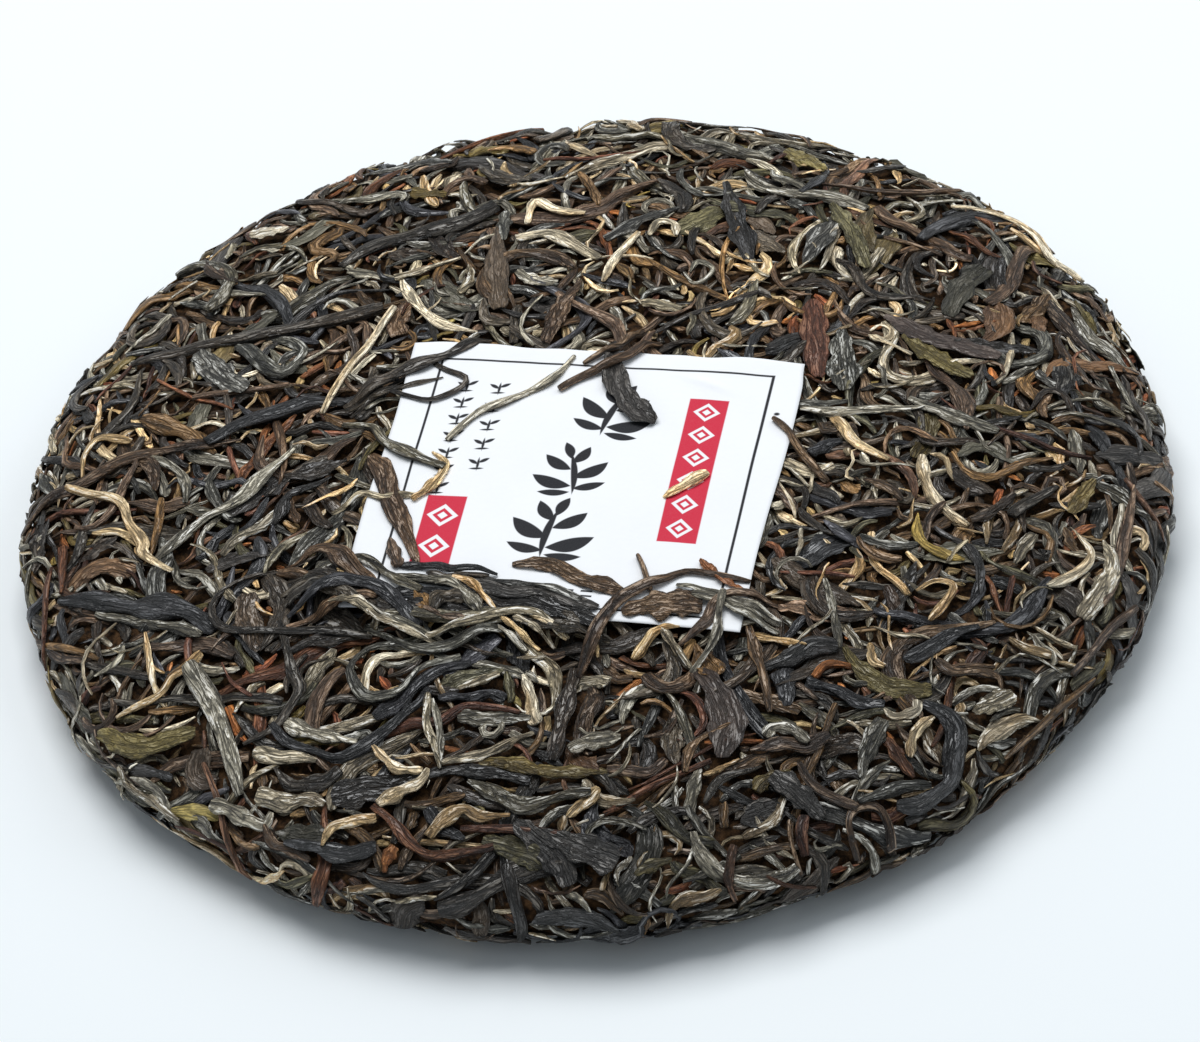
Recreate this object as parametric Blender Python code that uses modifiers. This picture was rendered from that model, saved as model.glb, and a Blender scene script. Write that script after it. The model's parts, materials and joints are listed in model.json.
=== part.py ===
"""Pu-erh tea cake: a round cake of pressed tea leaves with a paper ticket lying on its top.

The cake was pressed in a cloth bag, so its top is a low dome, its rim is round, and its
underside is flat with the hollow that the bag's knot leaves. Loose strips, stems and
leaves of the same tea lie across the ticket and hold it down.

Units are metres and +Z is up. The origin is the centre of the flat underside.
"""
import math

import bmesh
import bpy
import numpy as np

MM = 0.001

# The pressed cake: a standard 357 g cake is 200 mm across
CAKE_RADIUS = 100 * MM
CAKE_HEIGHT = 24 * MM
WIDEST_HEIGHT = 8 * MM
FOOT_RADIUS = 88 * MM
KNOT_RADIUS = 30 * MM
KNOT_DEPTH = 13 * MM
TOP_POWER = 2.6
UNDER_POWER = 2.2

# The mesh of the cake, in steps along its profile and around it
TOP_STEPS = 13
UNDER_STEPS = 5
FOOT_STEPS = 3
KNOT_STEPS = 6
CAKE_SEGMENTS = 96
WELD = 0.01 * MM

# The uneven pressed surface: long waves, as they run through the cake
WAVE_SEED = 357
WAVE_COUNT = 9
WAVE_SHORTEST = 22 * MM
WAVE_LONGEST = 60 * MM
WAVE_HEIGHT = 0.16 * MM
FLAT_FADE = 12 * MM

# The ticket: a sheet of thin paper, square to the X and Y axes
TICKET_WIDTH = 67.5 * MM
TICKET_LENGTH = 65 * MM
TICKET_CENTRE_Y = -12.5 * MM
TICKET_THICKNESS = 0.3 * MM
TICKET_STEPS = 14
GAP = 0.35 * MM

# Each strip and stem on the ticket: its route over the top in mm, its radius along the
# way in mm, and its colour
STRIPS = {
    "long_dark_strip": (
        [(-44, 5), (-39, 8), (-33, 13), (-27, 17), (-22, 22)], [0.5, 1.2, 1.3, 1.2, 0.7],
        (0.045, 0.038, 0.030)),
    "silver_strip": (
        [(-22, -4), (-19, 2), (-15, 5), (-10, 9), (-7, 13), (-5, 18)], [0.5, 0.9, 1.0, 0.8, 0.5],
        (0.26, 0.24, 0.20)),
    "wrinkled_strip": (
        [(-43, 0), (-37, -2), (-34, -6), (-29, -9), (-22, -12)], [0.5, 1.0, 1.1, 1.0, 0.5],
        (0.13, 0.12, 0.10)),
    "top_stem": (
        [(-6, 9), (-3, 12), (2, 16), (5, 19), (9, 24)], [0.8, 0.7, 0.7, 0.7, 0.6],
        (0.16, 0.08, 0.04)),
    "branch_twig": (
        [(9, -55), (11, -46), (13, -41), (17, -37), (20, -35), (23, -33), (27, -33), (34, -34)],
        [0.5, 0.8, 1.0, 1.1, 1.0, 0.8, 0.5], (0.11, 0.07, 0.04)),
    "fork_twig": (
        [(25, -46), (28, -44), (29, -40), (32, -37), (38, -37)], [0.5, 0.9, 1.0, 0.8, 0.5],
        (0.14, 0.10, 0.07)),
    "right_stem": (
        [(32, 5), (35, 2), (37, -1), (42, -6)], [0.6, 0.8, 0.8, 0.6],
        (0.12, 0.08, 0.05)),
}
STRIP_POINTS = 13

# Each flat leaf on the ticket: its route in mm, its full width along the way in mm, and
# its colour
LEAVES = {
    "large_flat_leaf": (
        [(-26, -37), (-19, -38), (-12, -40), (-2, -39.5), (6, -42)], [1.2, 4.6, 5.4, 4.4, 1.2],
        (0.040, 0.034, 0.026)),
    "brown_leaf_strip": (
        [(-33, -14), (-30, -20), (-26, -27), (-22, -34)], [1.0, 3.0, 3.4, 2.8, 1.0],
        (0.11, 0.065, 0.035)),
    "brown_leaf_piece": (
        [(-5, -34), (0, -33.5), (5, -36), (9, -37)], [1.2, 3.0, 3.2, 1.2],
        (0.15, 0.085, 0.045)),
}
LEAF_POINTS = 11
LEAF_ACROSS = 4
LEAF_THICKNESS = 0.8 * MM


def remove_everything():
    """Empty the scene of objects."""
    for obj in list(bpy.data.objects):
        bpy.data.objects.remove(obj, do_unlink=True)


def make_collection(name):
    """A new collection in the scene."""
    collection = bpy.data.collections.new(name)
    bpy.context.scene.collection.children.link(collection)
    return collection


def make_material(name, colour, roughness):
    """A Principled material with one colour and no metal."""
    material = bpy.data.materials.new(name)
    material.use_nodes = True
    shader = material.node_tree.nodes["Principled BSDF"]
    shader.inputs["Base Color"].default_value = (*colour, 1.0)
    shader.inputs["Roughness"].default_value = roughness
    shader.inputs["Metallic"].default_value = 0.0
    return material


def add_object(name, data, material, collection):
    """Put a mesh or curve in the collection as a named object with one material."""
    data.materials.append(material)
    obj = bpy.data.objects.new(name, data)
    collection.objects.link(obj)
    return obj


def superellipse(steps, power):
    """Two arrays that run from (0, 1) to (1, 0) along a quarter of a superellipse."""
    turn = np.linspace(0.0, math.pi / 2, steps + 1)
    across = np.sin(turn).clip(0) ** (2 / power)
    up = np.cos(turn).clip(0) ** (2 / power)
    return across, up


def cake_profile():
    """The cake's outline from the top's centre, over the rim, to the knot hollow's centre."""
    across, up = superellipse(TOP_STEPS, TOP_POWER)
    top = np.stack([CAKE_RADIUS * across, WIDEST_HEIGHT + (CAKE_HEIGHT - WIDEST_HEIGHT) * up], 1)
    across, up = superellipse(UNDER_STEPS, UNDER_POWER)
    under_radius = FOOT_RADIUS + (CAKE_RADIUS - FOOT_RADIUS) * up
    under = np.stack([under_radius, WIDEST_HEIGHT * (1 - across)], 1)
    foot_radius = np.linspace(FOOT_RADIUS, KNOT_RADIUS, FOOT_STEPS + 1)
    foot = np.stack([foot_radius, np.zeros_like(foot_radius)], 1)
    knot_radius = np.linspace(KNOT_RADIUS, 0.0, KNOT_STEPS + 1)
    knot = np.stack([knot_radius, KNOT_DEPTH * (1 - (knot_radius / KNOT_RADIUS) ** 2) ** 2], 1)
    return np.concatenate([top, under[1:], foot[1:], knot[1:]])


def top_height(x, y):
    """The height of the smooth dome above a point."""
    part = (np.hypot(x, y) / CAKE_RADIUS) ** TOP_POWER
    return WIDEST_HEIGHT + (CAKE_HEIGHT - WIDEST_HEIGHT) * (1 - part) ** (1 / TOP_POWER)


def unevenness(points):
    """A sum of plane waves with seeded directions, lengths and phases, for each point."""
    rng = np.random.default_rng(WAVE_SEED)
    direction = rng.normal(size=(WAVE_COUNT, 3))
    direction /= np.linalg.norm(direction, axis=1, keepdims=True)
    length = rng.uniform(WAVE_SHORTEST, WAVE_LONGEST, WAVE_COUNT)
    phase = rng.uniform(0, 2 * math.pi, WAVE_COUNT)
    waves = np.sin(2 * math.pi * (points @ direction.T) / length + phase)
    return WAVE_HEIGHT * waves.sum(axis=1)


def fade_from(distance, width):
    """0 where the distance is nothing, rising smoothly to 1 at the width."""
    part = (distance / width).clip(0, 1)
    return part * part * (3 - 2 * part)


def wave_share(points):
    """1 on the open top and rim, and 0 under the ticket, on the foot and in the hollow."""
    beside_x = np.abs(points[:, 0]) - TICKET_WIDTH / 2
    beside_y = np.abs(points[:, 1] - TICKET_CENTRE_Y) - TICKET_LENGTH / 2
    beside = np.hypot(beside_x.clip(0), beside_y.clip(0))
    open_top = fade_from(beside - TICKET_WIDTH / 12, FLAT_FADE)
    above_foot = fade_from(points[:, 2], WIDEST_HEIGHT)
    outside_hollow = np.hypot(points[:, 0], points[:, 1]) > FOOT_RADIUS
    on_top = points[:, 2] > WIDEST_HEIGHT
    return open_top * above_foot * (on_top | outside_hollow)


def make_cake(collection):
    """Turn the profile, then press the waves into it along its normals."""
    profile = cake_profile()
    outline = bpy.data.meshes.new("cake_profile")
    corners = [(radius, 0.0, height) for radius, height in profile]
    outline.from_pydata(corners, [(i, i + 1) for i in range(len(corners) - 1)], [])
    turned = bpy.data.objects.new("cake_profile", outline)
    collection.objects.link(turned)
    screw = turned.modifiers.new("turn", "SCREW")
    screw.steps = CAKE_SEGMENTS
    screw.render_steps = CAKE_SEGMENTS
    screw.use_merge_vertices = True
    screw.merge_threshold = WELD

    bpy.context.view_layer.update()
    graph = bpy.context.evaluated_depsgraph_get()
    mesh = bpy.data.meshes.new_from_object(turned.evaluated_get(graph))
    mesh.name = "cake"
    bpy.data.objects.remove(turned, do_unlink=True)

    shell = bmesh.new()
    shell.from_mesh(mesh)
    bmesh.ops.remove_doubles(shell, verts=shell.verts, dist=WELD)
    shell.normal_update()
    points = np.array([vertex.co for vertex in shell.verts])
    normals = np.array([vertex.normal for vertex in shell.verts])
    points += normals * (unevenness(points) * wave_share(points))[:, None]
    points[:, :2] -= (points[:, :2].max(axis=0) + points[:, :2].min(axis=0)) / 2
    for vertex, point in zip(shell.verts, points):
        vertex.co = point
    shell.to_mesh(mesh)
    shell.free()
    mesh.shade_smooth()
    material = make_material("pressed_tea", (0.075, 0.062, 0.047), 0.75)
    return add_object("cake", mesh, material, collection)


def sheet_mesh(name, across, along, place):
    """A grid of faces over two parameters; place gives the points as an array."""
    u, v = np.meshgrid(across, along)
    points = place(u.ravel(), v.ravel())
    columns = len(across)
    rows = len(along)
    corner = np.arange(rows * columns).reshape(rows, columns)
    faces = np.stack([corner[:-1, :-1], corner[:-1, 1:], corner[1:, 1:], corner[1:, :-1]], -1)
    mesh = bpy.data.meshes.new(name)
    mesh.from_pydata(points.tolist(), [], faces.reshape(-1, 4).tolist())
    return mesh


def thicken(obj, thickness):
    """Give an open surface a wall on its upper side."""
    wall = obj.modifiers.new("wall", "SOLIDIFY")
    wall.thickness = thickness
    wall.offset = 1.0


def make_ticket(collection):
    """The paper lies on the dome, a gap above it."""
    def place(x, y):
        y = y + TICKET_CENTRE_Y
        return np.stack([x, y, top_height(x, y) + GAP], 1)

    across = np.linspace(-TICKET_WIDTH / 2, TICKET_WIDTH / 2, TICKET_STEPS + 1)
    along = np.linspace(-TICKET_LENGTH / 2, TICKET_LENGTH / 2, TICKET_STEPS + 1)
    mesh = sheet_mesh("paper_ticket", across, along, place)
    material = make_material("ticket_paper", (0.92, 0.93, 0.93), 0.6)
    obj = add_object("paper_ticket", mesh, material, collection)
    thicken(obj, TICKET_THICKNESS)
    return obj


def smooth_route(route, count):
    """Points spaced evenly along a Catmull-Rom curve through the route's points, in metres."""
    knots = np.array(route, dtype=float) * MM
    ends = np.concatenate([[2 * knots[0] - knots[1]], knots, [2 * knots[-1] - knots[-2]]])
    part = np.linspace(0, 1, 12, endpoint=False)[:, None]
    runs = []
    for before, start, finish, after in zip(ends[:-3], ends[1:-2], ends[2:-1], ends[3:]):
        runs.append(0.5 * (2 * start + (finish - before) * part
                           + (2 * before - 5 * start + 4 * finish - after) * part ** 2
                           + (3 * start - before - 3 * finish + after) * part ** 3))
    fine = np.concatenate(runs + [knots[-1:]])
    steps = np.linalg.norm(np.diff(fine, axis=0), axis=1)
    distance = np.concatenate([[0], np.cumsum(steps)])
    wanted = np.linspace(0, distance[-1], count)
    return np.stack([np.interp(wanted, distance, fine[:, axis]) for axis in (0, 1)], 1)


def along_values(values, count):
    """Spread a few values in mm evenly over a number of points, in metres."""
    return np.interp(np.linspace(0, 1, count), np.linspace(0, 1, len(values)), values) * MM


def ticket_top(x, y):
    """The height at which things rest on the ticket, with their gap."""
    return top_height(x, y) + GAP + TICKET_THICKNESS + GAP


def make_strip(name, route, radii, colour, collection):
    """A tapering round strip that rests on the ticket."""
    path = smooth_route(route, STRIP_POINTS)
    radius = along_values(radii, STRIP_POINTS)
    height = ticket_top(path[:, 0], path[:, 1]) + radius.max()
    curve = bpy.data.curves.new(name, "CURVE")
    curve.dimensions = "3D"
    curve.bevel_depth = radius.max()
    curve.bevel_resolution = 2
    curve.use_fill_caps = True
    spline = curve.splines.new("POLY")
    spline.points.add(STRIP_POINTS - 1)
    for point, (x, y), z, thickness in zip(spline.points, path, height, radius):
        point.co = (x, y, z, 1.0)
        point.radius = thickness / radius.max()
    return add_object(name, curve, make_material(name, colour, 0.7), collection)


def make_leaf(name, route, widths, colour, collection):
    """A flat leaf that rests on the ticket, widest in its middle."""
    path = smooth_route(route, LEAF_POINTS)
    width = along_values(widths, LEAF_POINTS)
    heading = np.gradient(path, axis=0)
    heading /= np.linalg.norm(heading, axis=1, keepdims=True)
    side = np.stack([heading[:, 1], -heading[:, 0]], 1)

    def place(across, along):
        station = along.astype(int)
        flat = path[station] + side[station] * (across * width[station])[:, None]
        return np.column_stack([flat, ticket_top(flat[:, 0], flat[:, 1])])

    across = np.linspace(-0.5, 0.5, LEAF_ACROSS + 1)
    mesh = sheet_mesh(name, across, np.arange(LEAF_POINTS), place)
    obj = add_object(name, mesh, make_material(name, colour, 0.7), collection)
    thicken(obj, LEAF_THICKNESS)
    return obj


def main():
    remove_everything()
    collection = make_collection("pu_erh_tea_cake")
    make_cake(collection)
    make_ticket(collection)
    for name, (route, radii, colour) in STRIPS.items():
        make_strip(name, route, radii, colour, collection)
    for name, (route, widths, colour) in LEAVES.items():
        make_leaf(name, route, widths, colour, collection)


main()
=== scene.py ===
"""Pu-erh tea cake: a mat of rolled leaves, buds, stems and leaf pieces pressed over a dark core,
with a printed paper ticket lying on it.

The strips are laid one after another against the mould that the cake was pressed in. The first
ones lie flush with the pressed surface, and each later one slips under those already there.
Shapes are worked out in millimetres and made in metres.
"""
import json
import math

import bpy
import numpy as np
from bpy.props import FloatProperty, FloatVectorProperty, PointerProperty
from mathutils import Matrix, Vector

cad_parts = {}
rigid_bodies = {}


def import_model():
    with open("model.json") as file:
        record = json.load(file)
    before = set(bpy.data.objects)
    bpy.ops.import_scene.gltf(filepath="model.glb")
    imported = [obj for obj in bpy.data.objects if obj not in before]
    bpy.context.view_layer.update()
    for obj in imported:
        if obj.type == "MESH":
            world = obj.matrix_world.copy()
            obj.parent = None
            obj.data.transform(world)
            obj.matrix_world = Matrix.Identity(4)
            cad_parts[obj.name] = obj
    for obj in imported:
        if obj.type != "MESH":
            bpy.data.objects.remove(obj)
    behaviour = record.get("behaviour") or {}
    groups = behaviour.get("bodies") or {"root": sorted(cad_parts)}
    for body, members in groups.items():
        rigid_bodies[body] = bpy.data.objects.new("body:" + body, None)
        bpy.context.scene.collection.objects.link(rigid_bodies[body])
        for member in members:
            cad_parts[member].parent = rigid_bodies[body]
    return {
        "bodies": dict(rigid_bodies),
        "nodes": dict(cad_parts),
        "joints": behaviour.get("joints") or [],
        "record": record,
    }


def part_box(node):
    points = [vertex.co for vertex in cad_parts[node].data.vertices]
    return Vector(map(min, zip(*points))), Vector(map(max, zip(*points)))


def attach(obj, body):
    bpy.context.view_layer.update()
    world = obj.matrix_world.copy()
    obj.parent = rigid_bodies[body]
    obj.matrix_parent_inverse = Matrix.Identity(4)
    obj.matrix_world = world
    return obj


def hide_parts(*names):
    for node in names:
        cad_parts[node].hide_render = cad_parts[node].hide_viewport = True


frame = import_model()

bl_info = {
    "name": "Pressed Tea Cake",
    "version": (1, 0, 0),
    "blender": (4, 5, 0),
    "location": "3D Viewport > Sidebar > Tea",
    "description": "Lays a mat of rolled tea leaves over a dark core, with a printed ticket",
    "category": "Object",
}

MM = 0.001
FULL_TURN = 2 * math.pi
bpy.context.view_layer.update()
BODY = "root"

# The mould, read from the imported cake
CAKE_LOW, CAKE_HIGH = (np.array(corner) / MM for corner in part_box("cake"))
CAKE_RADIUS = float(round((CAKE_HIGH - CAKE_LOW)[:2].mean() / 2))
CAKE_HEIGHT = float(round(CAKE_HIGH[2]))
WIDEST_HEIGHT = 8.0
FOOT_RADIUS = 88.0
KNOT_RADIUS = 30.0
KNOT_DEPTH = 13.0
TOP_POWER = 2.6
UNDER_POWER = 2.2
TABLE_STEP = 0.25
ARC_MARGIN = 0.02

# The ticket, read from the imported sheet; its gap over the mould; and how deep and how far inside its
# edge the mat counts as covered by it
TICKET_LOW, TICKET_HIGH = (np.array(corner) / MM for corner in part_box("paper_ticket"))
TICKET_MIDDLE = (TICKET_LOW + TICKET_HIGH)[:2] / 2
TICKET_SIZE = (TICKET_HIGH - TICKET_LOW)[:2]
TICKET_LIFT = 0.45
TICKET_MARK = 0.3
TICKET_MARK_INSET = 0.4
PAPER_THICKNESS = 0.12

# The record of what is laid, in cells over the mould
CELL = 0.7
ACROSS = np.array([-0.85, -0.45, 0.0, 0.45, 0.85])

# The mat: how far strips sink into those above them, how deep they may lie, how steeply their
# upper sides slope on the cake and on the ticket, and the core's depth under the mould
SINK = 0.18
DEEPEST = 2.9
DEEPEST_MEAN = 2.2
STEEPEST = 0.34
STEEPEST_ON_TICKET = 0.42
NEIGHBOURS = (0.1, 0.25, 0.3, 0.25, 0.1)
CORE_DEPTH = 2.6
RIM_CORE_DEPTH = 1.5

# Scattered strips: the shares that follow the drift or run along the rim, and the band by the rim;
# the share that curls much more and how much more; the swaying bend beside the steady one; and how
# far a length may be from the batch's mean
DRIFTING = 0.5
ALONG_RIM = 0.75
RIM_BAND = (-16, -4, 10, 20)
WILD_SHARE = 0.18
WILD_CURL = 2.4
SWAY = 1.7
LENGTH_LIMITS = (0.5, 1.9)

# Strips on the ticket: how far past its edge they still lie on it, how much they press into each
# other, how far and over what length their free ends dip, and the gaps of leaves and of the others
TICKET_MARGIN = 2.2
PRESS = 0.1
END_DIP = 1.3
END_LENGTH = 5.0
LEAF_GAP = 0.45
STRIP_GAP = 0.12

# Sums of waves: the seed, how many, their shortest and longest length, and the height of each
LONG_WAVES = (357, 9, 22, 60, 0.16)
LUMPS = (12, 14, 6, 15, 0.085)
HEADING_DRIFT = (41, 6, 26, 70, 0.42)
CORE_RELIEF = ((5, 16, 2.6, 7.0, 0.07), (6, 10, 8, 20, 0.05))
PAPER_WAVES = ((31, 8, 17, 40, 0.055), (32, 8, 6, 12, 0.018))

# How far from the ticket's edge the waves and the lumps come in; the foot's share of the lumps, and
# how far the lowest tea stays off the table
LONG_WAVES_FADE = (5.6, 17.6)
LUMPS_FADE = (-1, 5)
FOOT_LUMPS = 0.25
FOOT_CLEARANCE = 0.03


def smooth_step(value, low, high):
    """0 up to low, 1 from high, and a smooth rise between them."""
    part = np.clip((value - low) / (high - low), 0, 1)
    return part * part * (3 - 2 * part)


def unit(vectors):
    """Vectors brought to length 1."""
    return vectors / np.linalg.norm(vectors, axis=-1, keepdims=True)


def dot(first, second):
    """The dot products of two arrays of vectors, with the last axis kept."""
    return (first * second).sum(-1, keepdims=True)


def laid_flat(way, out):
    """Headings brought back into the surface that faces out."""
    return unit(way - out * dot(way, out))


def smoothed(values, kernel):
    """Values averaged with their neighbours, where the end values go on past the ends."""
    return np.convolve(np.pad(values, len(kernel) // 2, mode="edge"), kernel, mode="valid")


def draped(heights, fall):
    """The lowest line over the heights that falls no faster than that from one to the next."""
    station = np.arange(len(heights))
    return (heights[None] - fall * np.abs(station[:, None] - station)).max(axis=1)


def any_angle(rng, *shape):
    """Random angles over a full turn."""
    return rng.uniform(0, 6.28, shape)


# ---------------------------------------------------------------- the mould


def quarter(power):
    """A quarter of a superellipse of radius 1: how far across and how far up its points are."""
    turn = np.linspace(0, math.pi / 2, 900)
    return np.sin(turn).clip(0) ** (2 / power), np.cos(turn).clip(0) ** (2 / power)


def mould_profile():
    """The pressed outline in mm, from the top's centre over the rim to the knot hollow's centre.

    The top is a superellipse from the height down to the widest level. The under-edge is another
    superellipse in to the flat foot. The hollow's height is its depth times (1 - (r / R)^2)^2.
    """
    across, up = quarter(TOP_POWER)
    top = np.stack([CAKE_RADIUS * across, WIDEST_HEIGHT + (CAKE_HEIGHT - WIDEST_HEIGHT) * up], 1)
    across, up = quarter(UNDER_POWER)
    under = np.stack([FOOT_RADIUS + (CAKE_RADIUS - FOOT_RADIUS) * up, WIDEST_HEIGHT * (1 - across)], 1)
    foot_radius = np.linspace(FOOT_RADIUS, KNOT_RADIUS, 60)
    foot = np.stack([foot_radius, 0 * foot_radius], 1)
    knot_radius = np.linspace(KNOT_RADIUS, 0, 160)
    knot = np.stack([knot_radius, KNOT_DEPTH * (1 - (knot_radius / KNOT_RADIUS) ** 2) ** 2], 1)
    return np.concatenate([top, under[1:], foot[1:], knot[1:]])


def mould_table():
    """Radius, height and their slopes at even steps of arc length along the profile."""
    profile = mould_profile()
    length = np.concatenate([[0], np.cumsum(np.linalg.norm(np.diff(profile, axis=0), axis=1))])
    arc = np.arange(0, length[-1], TABLE_STEP)
    radius = np.interp(arc, length, profile[:, 0])
    height = np.interp(arc, length, profile[:, 1])
    slope = np.stack([np.gradient(radius), np.gradient(height)], 1)
    kernel = np.hanning(9) / np.hanning(9).sum()
    slope = unit(np.stack([smoothed(slope[:, axis], kernel) for axis in (0, 1)], 1))
    return arc, radius, height, slope[:, 0], slope[:, 1]


ARC, RADIUS, HEIGHT, SLOPE_RADIUS, SLOPE_HEIGHT = mould_table()
RIM_ARC = float(ARC[RADIUS.argmax()])


def stand(arc, turn):
    """The mould's point at an arc length and a turn, with its way down, way round and way out."""
    radius = np.interp(arc, ARC, RADIUS)
    height = np.interp(arc, ARC, HEIGHT)
    slope_r = np.interp(arc, ARC, SLOPE_RADIUS)
    slope_z = np.interp(arc, ARC, SLOPE_HEIGHT)
    cos, sin = np.cos(turn), np.sin(turn)
    point = np.stack([radius * cos, radius * sin, height], -1)
    down = np.stack([slope_r * cos, slope_r * sin, slope_z], -1)
    around = np.stack([-sin, cos, 0 * cos], -1)
    out = np.stack([-slope_z * cos, -slope_z * sin, slope_r], -1)
    return point, down, around, out


def plane_waves(points, seed, count, shortest, longest, height):
    """A sum of sine waves with seeded directions, lengths and phases."""
    rng = np.random.default_rng(seed)
    direction = unit(rng.normal(size=(count, 3)))
    length = rng.uniform(shortest, longest, count)
    phase = rng.uniform(0, FULL_TURN, count)
    total = np.zeros(points.shape[:-1])
    for axis, size, start in zip(direction, length, phase):
        total += np.sin(FULL_TURN * (points @ axis) / size + start)
    return height * total


def beside_ticket(x, y):
    """How far a point of the plan lies outside the ticket's edges."""
    gap_x = np.abs(x - TICKET_MIDDLE[0]) - TICKET_SIZE[0] / 2
    gap_y = np.abs(y - TICKET_MIDDLE[1]) - TICKET_SIZE[1] / 2
    return np.hypot(gap_x.clip(0), gap_y.clip(0)) + np.minimum(np.maximum(gap_x, gap_y), 0)


def unevenness(points):
    """How far the pressed surface stands out: the cake's long waves and shorter lumps of tea. Both
    fade towards the ticket. The foot has no long waves and lower lumps."""
    gap = beside_ticket(points[..., 0], points[..., 1])
    on_top = points[..., 2] > WIDEST_HEIGHT
    above_foot = smooth_step(points[..., 2], 0, WIDEST_HEIGHT)
    beyond_foot = on_top | (np.hypot(points[..., 0], points[..., 1]) > FOOT_RADIUS)
    long_waves = plane_waves(points, *LONG_WAVES) * smooth_step(gap, *LONG_WAVES_FADE)
    long_waves = long_waves * above_foot * beyond_foot
    lumps_share = np.where(on_top, smooth_step(gap, *LUMPS_FADE), 1.0)
    lumps = plane_waves(points, *LUMPS) * lumps_share * (FOOT_LUMPS + (1 - FOOT_LUMPS) * above_foot)
    return long_waves + lumps


# ---------------------------------------------------------------- paths over the mould


class Paths:
    """A batch of paths with equal numbers of stations: where each runs and which way it heads."""

    def __init__(self, arc, turn, way, step):
        self.arc = arc
        self.turn = turn
        self.way = way
        self.step = step

    def frames(self):
        """Points, headings, sides and outward directions at every station, and the mould's ways down
        and round."""
        point, down, around, out = stand(self.arc, self.turn)
        way = laid_flat(self.way, out)
        return point, way, np.cross(out, way), out, down, around

    def cells(self, half_width):
        """The cells under each station, from one side of the strip to the other."""
        _, _, side, _, down, around = self.frames()
        reach = half_width[..., None] * ACROSS
        arc = self.arc[..., None] + reach * dot(side, down)
        radius = np.interp(self.arc, ARC, RADIUS).clip(1)[..., None]
        turn = self.turn[..., None] + reach * dot(side, around) / radius
        return cell_of(arc, turn)


ROW_COUNT = int(ARC[-1] / CELL) + 1
ROW_RADIUS = np.interp((np.arange(ROW_COUNT) + 0.5) * CELL, ARC, RADIUS)
COLUMNS = np.maximum(6, np.round(FULL_TURN * ROW_RADIUS / CELL)).astype(int)
FIRST_CELL = np.concatenate([[0], np.cumsum(COLUMNS)])


def cell_of(arc, turn):
    """The cell that holds a point of the mould."""
    row = (arc / CELL).astype(int).clip(0, ROW_COUNT - 1)
    column = ((turn / FULL_TURN) % 1.0 * COLUMNS[row]).astype(int) % COLUMNS[row]
    return FIRST_CELL[row] + column


def cell_centres():
    """The arc length and the turn of each cell's centre."""
    row = np.repeat(np.arange(ROW_COUNT), COLUMNS)
    column = np.arange(FIRST_CELL[-1]) - FIRST_CELL[row]
    return (row + 0.5) * CELL, (column + 0.5) / COLUMNS[row] * FULL_TURN


def walk(arc, turn, heading, bends, step):
    """Walk over the mould. Each step goes straight on, drops back onto the profile's nearest
    point, and then turns by the bend times the step."""
    point, down, around, out = stand(arc, turn)
    way = np.cos(heading)[:, None] * down + np.sin(heading)[:, None] * around
    arcs, turns, ways = [], [], []
    for bend in bends.T:
        arcs.append(arc)
        turns.append(turn)
        ways.append(way)
        moved = point + way * step[:, None]
        turn = np.arctan2(moved[:, 1], moved[:, 0])
        radius = np.hypot(moved[:, 0], moved[:, 1])
        for _ in range(2):
            miss_r = radius - np.interp(arc, ARC, RADIUS)
            miss_z = moved[:, 2] - np.interp(arc, ARC, HEIGHT)
            arc = arc + miss_r * np.interp(arc, ARC, SLOPE_RADIUS)
            arc = arc + miss_z * np.interp(arc, ARC, SLOPE_HEIGHT)
            arc = arc.clip(ARC_MARGIN, ARC[-1] - ARC_MARGIN)
        point, down, around, out = stand(arc, turn)
        way = laid_flat(way, out)
        angle = (bend * step)[:, None]
        way = way * np.cos(angle) + np.cross(out, way) * np.sin(angle)
    return Paths(np.stack(arcs, 1), np.stack(turns, 1), np.stack(ways, 1), step)


def smooth_route(route, count):
    """Even points along a Catmull-Rom curve through a route's points."""
    knots = np.array(route, dtype=float)
    ends = np.concatenate([[2 * knots[0] - knots[1]], knots, [2 * knots[-1] - knots[-2]]])
    points_per_run = 12
    part = np.linspace(0, 1, points_per_run, endpoint=False)[:, None]
    runs = []
    for before, start, finish, after in zip(ends[:-3], ends[1:-2], ends[2:-1], ends[3:]):
        runs.append(0.5 * (2 * start + (finish - before) * part
                           + (2 * before - 5 * start + 4 * finish - after) * part ** 2
                           + (3 * start - before - 3 * finish + after) * part ** 3))
    fine = np.concatenate(runs + [knots[-1:]])
    distance = np.concatenate([[0], np.cumsum(np.linalg.norm(np.diff(fine, axis=0), axis=1))])
    wanted = np.linspace(0, distance[-1], count)
    return np.stack([np.interp(wanted, distance, fine[:, axis]) for axis in (0, 1)], 1)


def follow(route, count):
    """A path over the top that follows a route drawn on the plan."""
    plan = smooth_route(route, count)
    nearest, farthest = 0.3, CAKE_RADIUS - 0.2
    radius = np.hypot(plan[:, 0], plan[:, 1]).clip(nearest, farthest)
    turn = np.arctan2(plan[:, 1], plan[:, 0])
    rim = RADIUS.argmax()
    arc = np.interp(radius, RADIUS[:rim], ARC[:rim])
    point = stand(arc, turn)[0]
    way = unit(np.gradient(point, axis=0))
    step = np.linalg.norm(np.diff(point, axis=0), axis=1).mean()
    return Paths(arc[None], turn[None], way[None], np.array([step]))


# ---------------------------------------------------------------- kinds of tea


def rgb(*channels):
    """A display colour of 0 to 255 as linear light."""
    value = np.array(channels) / 255
    return np.where(value <= 0.04045, value / 12.92, ((value + 0.055) / 1.055) ** 2.4)


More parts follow.
